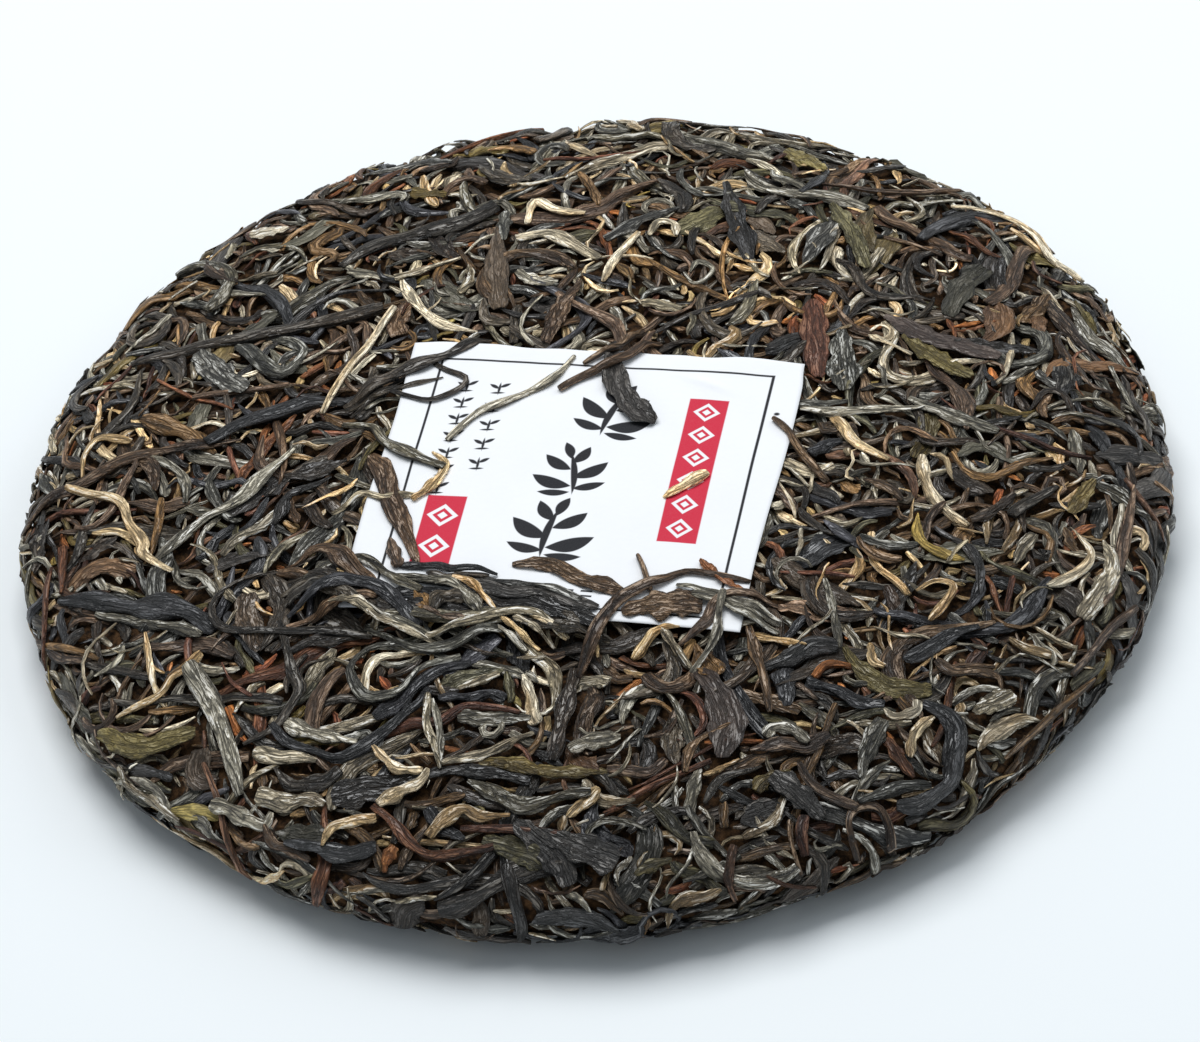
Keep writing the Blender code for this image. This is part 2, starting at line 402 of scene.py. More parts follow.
# For each kind of tea: the colours that a strip can have at its two ends
COLOURS = {
    "charcoal": [((46, 41, 36), (92, 83, 72)), ((40, 35, 30), (82, 71, 59)), ((56, 48, 38), (106, 94, 77)),
                 ((52, 41, 33), (94, 77, 60))],
    "ink": [((31, 31, 33), (66, 66, 69)), ((30, 28, 27), (62, 58, 55)), ((37, 37, 41), (74, 74, 80)),
            ((36, 31, 27), (70, 62, 54))],
    "slate": [((74, 73, 66), (138, 136, 125)), ((64, 63, 60), (122, 120, 113)),
              ((90, 86, 74), (160, 154, 137)), ((80, 74, 58), (144, 136, 113))],
    "umber": [((80, 60, 42), (136, 107, 76)), ((70, 52, 38), (118, 91, 66)), ((98, 72, 42), (158, 121, 74)),
              ((84, 66, 54), (132, 107, 86))],
    "silver": [((124, 116, 98), (222, 214, 192)), ((112, 107, 95), (202, 196, 176)),
               ((146, 130, 104), (236, 222, 192)), ((126, 112, 86), (214, 200, 168))],
    "gold": [((200, 160, 104), (252, 230, 188)), ((176, 134, 78), (242, 212, 160)),
             ((212, 182, 134), (253, 243, 218)), ((164, 124, 70), (234, 202, 150))],
    "russet": [((92, 56, 38), (140, 90, 60)), ((80, 50, 38), (122, 76, 56)), ((104, 62, 36), (148, 94, 56)),
               ((86, 62, 48), (132, 98, 76))],
    "olive": [((86, 76, 42), (138, 124, 72)), ((66, 62, 42), (110, 104, 72)), ((100, 84, 42), (150, 128, 66)),
              ((58, 56, 42), (98, 94, 72))],
    "leaf": [((42, 40, 40), (78, 75, 72)), ((54, 45, 37), (92, 77, 61)), ((56, 47, 44), (88, 75, 68)),
             ((58, 57, 48), (98, 95, 81)), ((76, 65, 42), (116, 101, 64)), ((84, 60, 42), (128, 94, 62))],
    "crumb": [((158, 90, 44), (204, 132, 70)), ((124, 64, 38), (170, 98, 56)),
              ((112, 88, 56), (166, 134, 90)), ((84, 66, 48), (128, 102, 74)),
              ((184, 150, 94), (226, 198, 142)), ((72, 62, 52), (110, 98, 84))],
}

# How light strips are beside their kind's colours: placed singly, by kind or otherwise, and scattered
SHOWN_LEVEL = {"gold": 1.40, "silver": 1.20, "charcoal": 0.88, "ink": 0.86}
OTHER_SHOWN_LEVEL = 1.05
SCATTERED_LEVEL = 1.15
SHOWN_SPREAD = 0.12
SCATTERED_SPREAD = 0.37

# The tea's colour holds painted shade and light: painted shade on strips deeper under the surface,
# painted light on the cake's far side, and painted shade towards the near side and towards the rim,
# so that the side and rim factor goes from 1.56 down to 0.55: how much, and from and to which mm.
# Its colours are also a little warmer than those listed
PAINTED_SHADE_BELOW = (0.32, 0.4, 2.4)
PAINTED_SHADE_SIDE = ((0.24, -78, 10), (0.52, 34, 92))
PAINTED_SHADE_RIM = (0.25, 50, 92)
PAINTED_SHADE_WAY = (0.45, -0.89)
# Painted light: the factor where no painted shade on the side or the rim takes it down
PAINTED_LIGHT_MOST = 1.56
WARMTH = np.array([1.04, 1.0, 0.95])


class Batch:
    """Strips with equal mesh resolution, their paths and the numbers that shape them."""

    def __init__(self, paths, stations, sides):
        self.paths = paths
        self.stations = stations
        self.sides = sides
        self.count = len(paths.arc)
        self.kept = np.zeros(self.count, bool)
        self.top = np.zeros(paths.arc.shape)

    def set_shape(self, width, thick, taper, wobble, rng):
        """Half widths and half thicknesses along each strip. Its ends narrow as a sine to the power
        of the taper, waves make it waver, and one end is fuller than the other."""
        end = 0.02
        self.place = np.linspace(0, 1, self.paths.arc.shape[1])
        blunt = np.sin(math.pi * (end + (1 - 2 * end) * self.place)) ** taper[:, None]
        phase = rng.uniform(0, FULL_TURN, (self.count, 2, 1))
        beat = rng.uniform(1.2, 3.2, (self.count, 2, 1))
        waver = (np.sin(FULL_TURN * beat * self.place + phase)).sum(1)
        fuller = 1 + 0.5 * rng.uniform(-1, 1, (self.count, 1)) * (2 * self.place - 1)
        self.half = width[:, None] / 2 * blunt * (1 + wobble * waver) * fuller
        self.thick = self.half * thick[:, None]


def headings(rng, arcs, turns):
    """Which way scattered strips head. Half of them follow a slow drift over the cake, or lie square
    to it, and most of those near the rim run along it."""
    count = len(arcs)
    heading = rng.uniform(0, FULL_TURN, count)
    drift = math.pi * plane_waves(stand(arcs, turns)[0], *HEADING_DRIFT)
    drift = drift + 0.42 * rng.normal(size=count) + math.pi * (rng.uniform(size=count) < 0.5)
    heading = np.where(rng.uniform(size=count) < DRIFTING, drift, heading)
    start, full, last, end = (RIM_ARC + offset for offset in RIM_BAND)
    near_rim = smooth_step(arcs, start, full) * (1 - smooth_step(arcs, last, end))
    along = math.pi / 2 * np.sign(np.sin(heading)) + 0.55 * rng.normal(size=count)
    return np.where(rng.uniform(size=count) < ALONG_RIM * near_rim, along, heading)


def scatter(rng, count, length, spread, curl, fine, arcs=None, turns=None):
    """Walks over the mould. Their middles are given, or spread evenly over its area. Each path has a
    steady bend and a swaying one, and a few curl much more than the others."""
    if arcs is None:
        share = np.cumsum(RADIUS)
        arcs = np.interp(rng.uniform(0, share[-1], count), share, ARC)
        turns = rng.uniform(0, FULL_TURN, count)
    size = length * np.exp(spread * rng.normal(size=count)).clip(*LENGTH_LIMITS)
    heading = headings(rng, arcs, turns)
    place = np.linspace(0, 1, fine)
    wild = np.where(rng.uniform(size=(count, 1)) < WILD_SHARE, WILD_CURL, 1.0)
    steady = curl * wild * rng.normal(size=(count, 1))
    sway = SWAY * curl * wild * rng.normal(size=(count, 1))
    phase = rng.uniform(0, FULL_TURN, (count, 1))
    beat = rng.uniform(0.6, 1.6, (count, 1))
    bends = steady + sway * np.sin(FULL_TURN * beat * place + phase)
    step = size / (fine - 1)
    # Start half a length back, so that the strip's middle is where it was scattered
    back = walk(arcs, turns, heading + math.pi, np.zeros((count, (fine + 1) // 2)), step)
    _, _, _, _, down, around = back.frames()
    way = -back.way[:, -1]
    start_heading = np.arctan2(dot(way, around[:, -1]), dot(way, down[:, -1]))[:, 0]
    return walk(back.arc[:, -1], back.turn[:, -1], start_heading, bends, step)


# ---------------------------------------------------------------- laying the mat


class Mat:
    """How deep below the mould the tea already laid reaches, cell by cell."""

    def __init__(self):
        arc, turn = cell_centres()
        point = stand(arc, turn)[0]
        self.depth = np.zeros(len(arc))
        under_ticket = (beside_ticket(point[:, 0], point[:, 1]) < -TICKET_MARK_INSET) & (arc < RIM_ARC)
        self.depth[under_ticket] = TICKET_MARK
        self.arc, self.turn = arc, turn

    def lay(self, cells, thick, start, need, step):
        """Push one strip up to the mould, or to the underside of what is there. Its upper side
        can slope only so steeply. Returns the upper side's depth, or None if too little shows."""
        seen = self.depth[cells]
        if (seen <= 0).mean() < need:
            return None
        top = draped(np.maximum(seen.max(axis=1) - SINK, start), STEEPEST * step)
        top = smoothed(top, NEIGHBOURS)
        if top.mean() > DEEPEST_MEAN:
            return None
        top = np.minimum(top, DEEPEST - 2 * thick)
        bulge = 1 + np.sqrt(1 - ACROSS ** 2)
        self.depth[cells] = np.maximum(seen, top[:, None] + thick[:, None] * bulge)
        return top


def lay_batches(mat, batches, order, start, need):
    """Lay the strips of several batches in one shared order."""
    cells = [batch.paths.cells(batch.half) for batch in batches]
    for index, row in order:
        batch = batches[index]
        top = mat.lay(cells[index][row], batch.thick[row], start[index][row], need[index],
                      batch.paths.step[row])
        if top is not None:
            batch.kept[row] = True
            batch.top[row] = top


# ---------------------------------------------------------------- strips placed one by one

# Strips that show well on the cake: kind, colour, form, width in mm and route on the plan in mm
SHOWN_STRIPS = [
    ("gold", 0, "rolled", 2.0, [(-90, -14), (-79, -19), (-76, -24), (-72, -29), (-71, -32), (-65, -36)]),
    ("gold", 1, "rolled", 1.5, [(-82, -26), (-76, -27), (-72, -30), (-69, -34)]),
    ("gold", 2, "stem", 1.4, [(-47, 2), (-46, 11), (-43, 20), (-40, 30)]),
    ("silver", 1, "rolled", 2.2, [(-69, -33), (-62, -24), (-56, -18), (-50, -7)]),
    ("charcoal", 1, "rolled", 3.0, [(-86, 17), (-78, 20), (-71, 22), (-60, 24), (-42, 30)]),
    ("ink", 0, "rolled", 3.0, [(-66, -6), (-60, 0), (-52, 4), (-44, 7), (-35, 11)]),
    ("umber", 1, "rolled", 2.6, [(-98, -20), (-95, -17), (-88, -13), (-80, -9), (-70, -7), (-60, -5)]),
    ("gold", 3, "rolled", 1.5, [(-88, -13), (-88, -6), (-86, -3), (-80, -5)]),
    ("charcoal", 1, "rolled", 1.5, [(-27, -50), (-42, -50), (-51, -50), (-55, -47), (-55, -42), (-50, -38),
        (-40, -33)]),
    ("ink", 0, "rolled", 4.0, [(-85, -40), (-72, -43), (-61, -45), (-54, -49)]),
    ("slate", 2, "rolled", 2.6, [(-77, -44), (-66, -47), (-56, -51)]),
    ("slate", 0, "rolled", 1.6, [(-11, -55), (-18, -52), (-23, -52), (-27, -53), (-29, -57), (-28, -60),
        (-25, -63), (-20, -62), (-17, -57), (-11, -54)]),
    ("gold", 2, "rolled", 1.8, [(-17, -53), (-20, -53), (-22, -54), (-25, -55), (-26, -58), (-26, -62)]),
    ("gold", 1, "thread", 1.2, [(-26, -60), (-23, -62), (-20, -61)]),
    ("ink", 2, "rolled", 3.0, [(-23, -67), (-21, -65), (-18, -61), (-14, -57), (-9, -55)]),
    ("silver", 3, "rolled", 1.3, [(-15, -62), (-14, -68), (-12, -72), (-10, -77)]),
    ("silver", 1, "rolled", 1.2, [(-14, -63), (-12, -68), (-11, -72), (-10, -77)]),
    ("gold", 2, "rolled", 2.6, [(-12, -77), (-13, -79), (-16, -81), (-19, -84)]),
    ("gold", 0, "rolled", 1.7, [(-22, -73), (-20, -75), (-17, -77), (-13, -77)]),
    ("ink", 0, "rolled", 2.0, [(-15, -61), (-17, -65), (-21, -70), (-27, -75), (-32, -74), (-37, -72),
        (-40, -69)]),
    ("silver", 2, "rolled", 1.8, [(-10, -76), (-5, -74), (0, -71), (4, -69)]),
    ("charcoal", 0, "rolled", 1.7, [(-44, -73), (-40, -70), (-38, -67), (-37, -62), (-39, -58), (-41, -53),
        (-43, -48)]),
    ("olive", 2, "leaf", 2.8, [(-4, -75), (1, -75), (6, -76), (10, -76), (17, -75)]),
    ("ink", 1, "rolled", 2.2, [(-14, -78), (-8, -77), (-2, -77), (5, -78)]),
    ("ink", 3, "leaf", 6.0, [(-27, -83), (-22, -81), (-17, -80), (-13, -78)]),
    ("silver", 0, "rolled", 2.8, [(-38, -68), (-34, -70), (-30, -71), (-25, -72)]),
    ("olive", 2, "rolled", 1.8, [(-37, -72), (-32, -71), (-28, -72)]),
    ("russet", 1, "stem", 1.8, [(-22, -70), (-17, -68), (-12, -67), (-8, -64), (-3, -64), (1, -65)]),
    ("slate", 2, "leaf", 3.2, [(-9, -67), (-5, -66), (-1, -66), (3, -66)]),
    ("silver", 3, "rolled", 1.5, [(-4, -57), (-7, -59), (-10, -61)]),
    ("ink", 2, "rolled", 2.4, [(-13, -63), (-9, -62), (-5, -61), (-2, -62)]),
    ("charcoal", 3, "rolled", 3.0, [(8, -54), (8, -61), (8, -68), (8, -74)]),
    ("gold", 2, "rolled", 2.2, [(0, -57), (2, -61), (3, -65), (4, -67)]),
    ("silver", 2, "rolled", 2.4, [(8, -60), (9, -57), (12, -56), (14, -57)]),
    ("silver", 0, "rolled", 3.0, [(10, -71), (13, -69), (18, -68)]),
    ("silver", 2, "rolled", 2.4, [(-42, -74), (-38, -75), (-35, -75), (-31, -76)]),
    ("charcoal", 1, "rolled", 2.4, [(-38, -77), (-35, -80), (-32, -80), (-29, -79), (-27, -77)]),
    ("silver", 2, "rolled", 3.4, [(-40, -82), (-35, -83), (-31, -83), (-28, -84)]),
    ("russet", 0, "rolled", 2.0, [(-20, -84), (-16, -87), (-13, -90), (-9, -92), (-3, -91), (1, -90)]),
    ("gold", 3, "rolled", 1.8, [(-10, -89), (-8, -86), (-5, -84), (-2, -85), (3, -85)]),
    ("slate", 3, "rolled", 2.4, [(-5, -79), (0, -81), (5, -83), (11, -80), (15, -79)]),
    ("gold", 1, "rolled", 2.2, [(12, -84), (14, -81), (16, -78)]),
    ("gold", 1, "rolled", 2.2, [(-27, -91), (-26, -88), (-23, -87), (-19, -86)]),
    ("ink", 0, "rolled", 2.8, [(-34, -90), (-28, -91), (-23, -92), (-18, -91)]),
    ("ink", 2, "rolled", 2.4, [(-11, -84), (-8, -87), (-4, -89)]),
    ("leaf", 0, "leaf", 4.6, [(4, -86), (8, -89), (12, -92), (14, -95)]),
    ("leaf", 0, "leaf", 5.2, [(8, -87), (14, -89), (21, -91)]),
    ("russet", 1, "stem", 1.6, [(-5, -87), (4, -87), (12, -87), (21, -89)]),
    ("crumb", 0, "rolled", 2.0, [(-15, -91), (-16, -93), (-16, -95)]),
    ("umber", 1, "rolled", 1.8, [(-38, -87), (-36, -90), (-33, -91), (-29, -93)]),
    ("silver", 0, "rolled", 2.4, [(-48, -83), (-45, -84), (-41, -86), (-38, -87), (-37, -85)]),
    ("olive", 1, "leaf", 4.5, [(-1, -89), (4, -90), (10, -92)]),
    ("umber", 0, "rolled", 1.8, [(35, -43), (37, -48), (39, -53), (41, -60)]),
    ("gold", 3, "rolled", 1.6, [(36, -44), (40, -44), (45, -46)]),
    ("ink", 1, "rolled", 3.2, [(39, -51), (43, -49), (46, -46), (50, -45)]),
    ("gold", 1, "rolled", 1.5, [(55, -43), (56, -47), (58, -48)]),
    ("ink", 0, "rolled", 2.6, [(61, -46), (65, -42), (68, -39), (72, -37)]),
    ("gold", 2, "rolled", 1.4, [(59, -57), (61, -58), (64, -56), (64, -54)]),
    ("olive", 0, "leaf", 4.0, [(51, -45), (54, -49), (59, -52), (62, -52), (66, -51)]),
    ("crumb", 0, "stem", 1.3, [(47, -52), (49, -49), (54, -49)]),
    ("ink", 2, "rolled", 2.4, [(46, -53), (51, -54), (55, -56), (59, -56)]),
    ("ink", 0, "rolled", 3.2, [(65, -54), (69, -55), (71, -58), (71, -62), (71, -66), (69, -69), (66, -72),
        (63, -73)]),
    ("gold", 0, "rolled", 1.5, [(67, -56), (65, -59), (64, -62), (64, -65)]),
    ("slate", 2, "rolled", 2.6, [(59, -59), (58, -62), (57, -67), (57, -70)]),
    ("russet", 2, "rolled", 1.8, [(60, -62), (62, -65), (65, -68)]),
    ("silver", 3, "leaf", 3.6, [(73, -54), (76, -51), (79, -48)]),
    ("umber", 0, "rolled", 1.8, [(66, -45), (69, -47), (73, -46), (76, -46), (77, -48)]),
    ("gold", 3, "rolled", 2.0, [(77, -38), (80, -39), (84, -39)]),
    ("silver", 0, "rolled", 2.0, [(41, -65), (42, -63), (45, -63), (48, -65)]),
    ("umber", 3, "rolled", 2.4, [(39, -68), (44, -66), (48, -65), (51, -63)]),
    ("leaf", 0, "leaf", 4.2, [(43, -72), (48, -75), (52, -78)]),
    ("olive", 2, "rolled", 2.2, [(41, -75), (42, -73), (46, -71)]),
    ("umber", 3, "rolled", 2.0, [(47, -69), (49, -72), (53, -74), (57, -75)]),
    ("slate", 0, "rolled", 2.2, [(57, -74), (60, -72), (63, -70), (68, -68)]),
    ("umber", 1, "rolled", 1.7, [(58, -82), (56, -78), (57, -75), (60, -74), (62, -76), (63, -80)]),
    ("russet", 1, "stem", 1.9, [(49, -78), (49, -81), (50, -84)]),
    ("gold", 2, "rolled", 1.1, [(45, 31), (46.5, 32.6), (48.6, 31.4), (48.4, 29), (46.4, 28.4),
        (45.4, 29.8), (48, 28), (53, 26)]),
    ("russet", 1, "leaf", 5.0, [(34, 38), (36, 27), (38, 17)]),
    ("slate", 0, "leaf", 5.0, [(40, 31), (41, 24), (43, 15)]),
    ("olive", 0, "leaf", 4.2, [(51, 31), (57, 26), (64, 21)]),
    ("leaf", 2, "leaf", 5.0, [(47, 35), (57, 31), (68, 27)]),
    ("silver", 2, "leaf", 3.6, [(90, -12), (92, -18), (88, -30)]),
    ("gold", 2, "rolled", 1.6, [(85, -12), (88, -16), (87, -20), (82, -25)]),
    ("gold", 3, "rolled", 1.3, [(61, -31), (64, -28), (67, -29), (64, -37)]),
    ("olive", 2, "leaf", 3.0, [(87, 1), (84, -8)]),
    ("silver", 0, "rolled", 2.0, [(36, 9), (46, 10), (57, 12)]),
    ("slate", 2, "rolled", 2.3, [(54, 14), (62, 10), (70, 8)]),
    ("olive", 2, "leaf", 3.4, [(-45, 66), (-38, 65)]),
    ("gold", 2, "rolled", 2.0, [(54, 71), (63, 72), (69, 68), (79, 56)]),
    ("olive", 0, "leaf", 4.6, [(22, 86), (30, 80)]),
    ("leaf", 2, "leaf", 5.6, [(28, -52), (34, -61), (35, -70)]),
    ("silver", 1, "rolled", 3.4, [(-57, -57), (-51, -65), (-47, -73), (-43, -82)]),
    ("olive", 0, "leaf", 4.2, [(-71, -68), (-62, -72), (-53, -70)]),
    ("gold", 3, "rolled", 1.7, [(-68, -66), (-61, -63), (-59, -59), (-55, -55)]),
    ("silver", 2, "rolled", 1.8, [(-66, -74), (-61, -81), (-54, -84)]),
    ("gold", 2, "rolled", 2.0, [(-21, 56), (-21, 63), (-17, 61), (-11, 60)]),
    ("silver", 2, "rolled", 2.4, [(-22, 51), (-17, 53), (-11, 50), (-6, 47)]),
    ("gold", 2, "rolled", 1.8, [(-4, 40), (-3, 48), (0, 54)]),
    ("silver", 2, "rolled", 1.6, [(2, 53), (3, 57), (6, 57), (7, 53)]),
    ("silver", 0, "leaf", 3.2, [(-20, 41), (-15, 39), (-12, 39)]),
    ("silver", 3, "rolled", 1.8, [(-29, 34), (-28, 39), (-29, 43)]),
    ("silver", 2, "rolled", 1.7, [(-42, 39), (-37, 41), (-31, 45)]),
    ("silver", 1, "rolled", 1.0, [(11, 44), (12, 47), (15, 45), (14, 42), (12, 41), (10, 44)]),
    ("slate", 1, "rolled", 2.4, [(6, 62), (0, 58), (-6, 53)]),
    ("ink", 1, "leaf", 4.2, [(13, 71), (17, 59), (21, 48)]),
    ("slate", 0, "rolled", 2.2, [(-26, 60), (-25, 55), (-24, 50)]),
    ("olive", 1, "leaf", 3.6, [(33, 67), (38, 58), (42, 49)]),
    ("umber", 1, "leaf", 3.2, [(-11, 22), (-10, 31), (-8, 40)]),
    ("leaf", 1, "leaf", 4.4, [(-26, 55), (-24, 43), (-21, 31)]),
    ("gold", 1, "rolled", 2.0, [(-39, 61), (-42, 66), (-44, 72)]),
    ("silver", 2, "leaf", 4.6, [(-72, 52), (-69, 54), (-66, 56)]),
    ("slate", 1, "leaf", 5.4, [(-74, 19), (-68, 12), (-62, 7)]),
    ("slate", 0, "rolled", 2.6, [(-67, 21), (-61, 15), (-56, 12), (-54, 18), (-58, 22), (-63, 23)]),
]

# Strips that lie across the ticket, from the lowest up. Those with a name stand for a packed
# node; the others are its small companions.
TICKET_STRIPS = [
    ("", "umber", 0, "rolled", 2.4, [(-47, -36), (-42, -37), (-37, -39), (-33, -42)]),
    ("", "charcoal", 0, "leaf", 3.4, [(-44, -39), (-36, -41), (-28, -43.5), (-20, -45.5)]),
    ("", "ink", 1, "leaf", 4.4, [(-22, -44), (-12, -45.4), (-2, -46.5)]),
    ("", "charcoal", 2, "leaf", 4.0, [(-5, -45.5), (4, -46.5), (13, -48)]),
    ("", "slate", 3, "rolled", 2.8, [(-25, -46.5), (-14, -47), (-5, -46)]),
    ("", "charcoal", 1, "rolled", 2.6, [(-44, -38), (-38, -38.5), (-32, -41.5), (-27, -45)]),
    ("", "umber", 1, "rolled", 2.4, [(-38, -47), (-33, -44), (-27, -43)]),
    ("", "charcoal", 2, "rolled", 2.4, [(-46, -42), (-40, -41), (-35, -42), (-30, -45)]),
    ("", "slate", 2, "rolled", 1.6, [(-41, -40), (-38, -38), (-35, -35)]),
    ("", "gold", 3, "rolled", 1.4, [(-35, -38), (-33, -37.5), (-31, -39)]),
    ("", "silver", 2, "rolled", 1.6, [(-35, -45), (-30, -45.5), (-27, -47)]),
    ("", "ink", 0, "rolled", 1.7, [(-25, -41.5), (-20, -41), (-16, -41.5), (-11, -41)]),
    ("", "umber", 2, "leaf", 3.0, [(-21, -41), (-19, -44), (-17, -47)]),
    ("", "charcoal", 2, "rolled", 2.6, [(-17, -46), (-16, -43), (-12, -42.5), (-9, -45)]),
    ("", "umber", 3, "rolled", 1.5, [(-20, -45), (-16, -47), (-13, -47.5), (-8, -47.5)]),
    ("", "ink", 1, "leaf", 3.8, [(-11, -42), (-7, -42.6), (-2, -42), (2, -43.4), (6, -44.4), (11, -46)]),
    ("large_flat_leaf", "leaf", 0, "leaf", 3.6, [(-25, -38), (-18, -38.5), (-12, -39.6), (-6, -40.4),
        (0, -40), (5, -41.5), (10, -42.5)]),
    ("", "slate", 1, "rolled", 1.3, [(-9, -39), (-3, -38.6), (2, -39.5), (7, -41.5)]),
    ("", "charcoal", 1, "rolled", 1.4, [(-20, -37), (-16, -38), (-12, -38), (-9, -38)]),
    ("", "ink", 0, "rolled", 1.5, [(-25, -35.6), (-21.5, -35.7), (-18, -36), (-15, -37), (-12, -36.5),
        (-8, -36.6)]),
    ("", "slate", 2, "rolled", 2.0, [(-25, -37.8), (-21.5, -38.5), (-18, -39), (-15, -40), (-12, -42.3),
        (-9, -46)]),
    ("", "gold", 3, "rolled", 1.3, [(-15, -39), (-11.5, -40), (-9, -42.7), (-6.5, -45.3)]),
    ("", "slate", 3, "rolled", 1.8, [(-36, -32), (-34, -33), (-30, -35), (-27, -37.4), (-24, -39.5),
        (-20, -41)]),
    ("", "umber", 1, "rolled", 2.6, [(-45, -35), (-43, -34), (-40.5, -31.5), (-37, -33), (-33, -36.5),
        (-28, -40.5)]),
    ("", "charcoal", 0, "rolled", 1.8, [(-44, -44), (-38, -42), (-34, -40)]),
    ("", "ink", 2, "rolled", 2.6, [(-42, -47), (-38.5, -44.5), (-36, -42), (-32.5, -40.7), (-29, -41),
        (-26, -42), (-23, -44.6), (-19, -49)]),
    ("", "slate", 0, "rolled", 2.2, [(-28, -48), (-26, -49.5), (-22.5, -51.3), (-17.5, -52.6),
        (-12.5, -51.5), (-9, -49.7), (-5, -48)]),
    ("", "silver", 1, "rolled", 1.3, [(-28, -45.5), (-25, -47.2), (-22, -48.8), (-19, -49.4), (-15, -50)]),
    ("", "silver", 2, "rolled", 1.3, [(-28, -46.6), (-25, -48.6), (-22, -50.2), (-18, -50.9), (-14, -50.6)]),
    ("", "silver", 0, "rolled", 1.2, [(-7, -47.5), (-4, -49), (-0.5, -51)]),
    ("", "gold", 1, "rolled", 1.2, [(-5.5, -46.6), (-2, -48.5), (1.5, -50.5)]),
    ("", "silver", 2, "rolled", 1.2, [(-3.5, -45.7), (0, -47.5), (3.8, -50)]),
    ("", "gold", 2, "rolled", 1.3, [(-1, -45.2), (2.5, -46.5), (6, -49)]),
    ("", "silver", 3, "rolled", 1.7, [(-19, -50), (-16, -49.8), (-12.5, -49), (-8.5, -47.5), (-5, -45.5),
        (-2.3, -44.7), (1.2, -45.4), (5.6, -48.3)]),
    ("", "silver", 3, "rolled", 1.6, [(-40, -22), (-35, -19), (-31, -20), (-28, -19), (-25, -19)]),
    ("", "gold", 1, "rolled", 1.5, [(-25, -8), (-22, -11), (-23, -16), (-26, -20)]),
    ("wrinkled_strip", "slate", 3, "rolled", 2.3, [(-43, 0), (-37, -2), (-34, -6), (-29, -9), (-22, -12)]),
    ("brown_leaf_strip", "umber", 1, "leaf", 3.6, [(-36, -8), (-32, -14), (-30, -20), (-26, -27),
        (-22, -35)]),
    ("", "umber", 3, "rolled", 1.9, [(-28, -29), (-25, -36)]),
    ("", "charcoal", 1, "rolled", 1.1, [(-42, 2), (-37, 7), (-33, 6), (-28, 5), (-23.5, 8), (-23, 11),
        (-27, 13), (-30, 15)]),
    ("", "charcoal", 2, "rolled", 1.1, [(-43, 4), (-34, 8), (-27, 11)]),
    ("long_dark_strip", "charcoal", 1, "rolled", 2.6, [(-44, 5), (-39, 8), (-33, 13), (-27, 17), (-21, 23)]),
    ("silver_strip", "silver", 0, "rolled", 1.9, [(-23, -5), (-19, 2), (-15, 5), (-10, 9), (-7, 13),
        (-5, 18)]),
    ("", "leaf", 0, "leaf", 4.2, [(1, 24), (2, 17), (4, 11), (7, 6), (12, 2)]),
    ("top_stem", "umber", 1, "stem", 1.6, [(-6, 9), (-3, 12), (2, 16), (5, 19), (9, 25)]),
    ("", "umber", 0, "stem", 1.5, [(-3, 16), (0, 19), (3, 21), (5, 28)]),
    ("", "gold", 0, "rolled", 2.0, [(16.5, -16), (20, -12.5), (23, -9.5)]),
    ("right_stem", "umber", 0, "stem", 1.5, [(32, 5), (35, 2), (37, -1), (43, -7)]),
    ("", "umber", 0, "leaf", 6.0, [(14, -43), (20, -41), (27, -40)]),
    ("", "silver", 1, "rolled", 1.8, [(22, -36), (26, -37), (30, -38), (34, -39), (40, -41)]),
    ("", "slate", 2, "rolled", 1.8, [(25, -38), (30, -39), (34, -41), (40, -43)]),
    ("brown_leaf_piece", "umber", 0, "leaf", 3.3, [(-6, -34), (0, -33.5), (5, -36), (10, -37.5), (15, -39)]),
    ("", "umber", 0, "stem", 1.1, [(14.5, -30), (16, -33), (18, -38)]),
    ("branch_twig", "umber", 1, "rolled", 2.0, [(9, -56), (11, -46), (13, -41), (17, -37), (20, -35),
        (23, -33), (27, -33), (34, -34)]),
    ("", "russet", 2, "leaf", 1.8, [(25, -30), (28, -33), (33, -36)]),
    ("fork_twig", "umber", 3, "rolled", 1.8, [(24, -48), (28, -44), (29, -40), (32, -37), (39, -37)]),
    ("", "silver", 1, "rolled", 1.4, [(30, -37), (30, -42), (30, -47), (27, -53)]),
    ("", "gold", 1, "rolled", 1.6, [(17, -51), (21, -46), (24, -45)]),
    ("", "silver", 2, "rolled", 1.6, [(21, -46), (24, -49), (27, -52)]),
]

FORMS = {
    "rolled": {"thick": 0.44, "taper": 0.26, "wobble": 0.13, "lobe": 0.21, "twist": 0.24},
    "stem": {"thick": 0.90, "taper": 0.12, "wobble": 0.04, "lobe": 0.08, "twist": 0.05},
    "leaf": {"thick": 0.10, "taper": 0.40, "wobble": 0.09, "lobe": 0.0, "twist": 0.0},
    "thread": {"thick": 0.60, "taper": 0.20, "wobble": 0.14, "lobe": 0.10, "twist": 0.2},
}
ROUTE_FINE = 51
ROUTE_STATIONS = 26
ROUTE_SIDES = 12

# The shares of the kinds among scattered strips, and among the slivers and crumbs in the gaps
COMMON = {"charcoal": 0.19, "ink": 0.13, "slate": 0.17, "umber": 0.21, "silver": 0.16, "gold": 0.055,
          "russet": 0.035, "olive": 0.05}
LARGE = {**COMMON, "gold": 0.02}
LEAVES = {"leaf": 0.42, "charcoal": 0.14, "ink": 0.12, "umber": 0.16, "olive": 0.10, "slate": 0.06}
STEMS = {"russet": 0.4, "umber": 0.4, "gold": 0.2}
THREADS = {"gold": 0.42, "silver": 0.42, "russet": 0.08, "umber": 0.08}
BITS = {"crumb": 0.36, "gold": 0.06, "umber": 0.22, "charcoal": 0.10, "silver": 0.08, "russet": 0.06,
        "olive": 0.12}

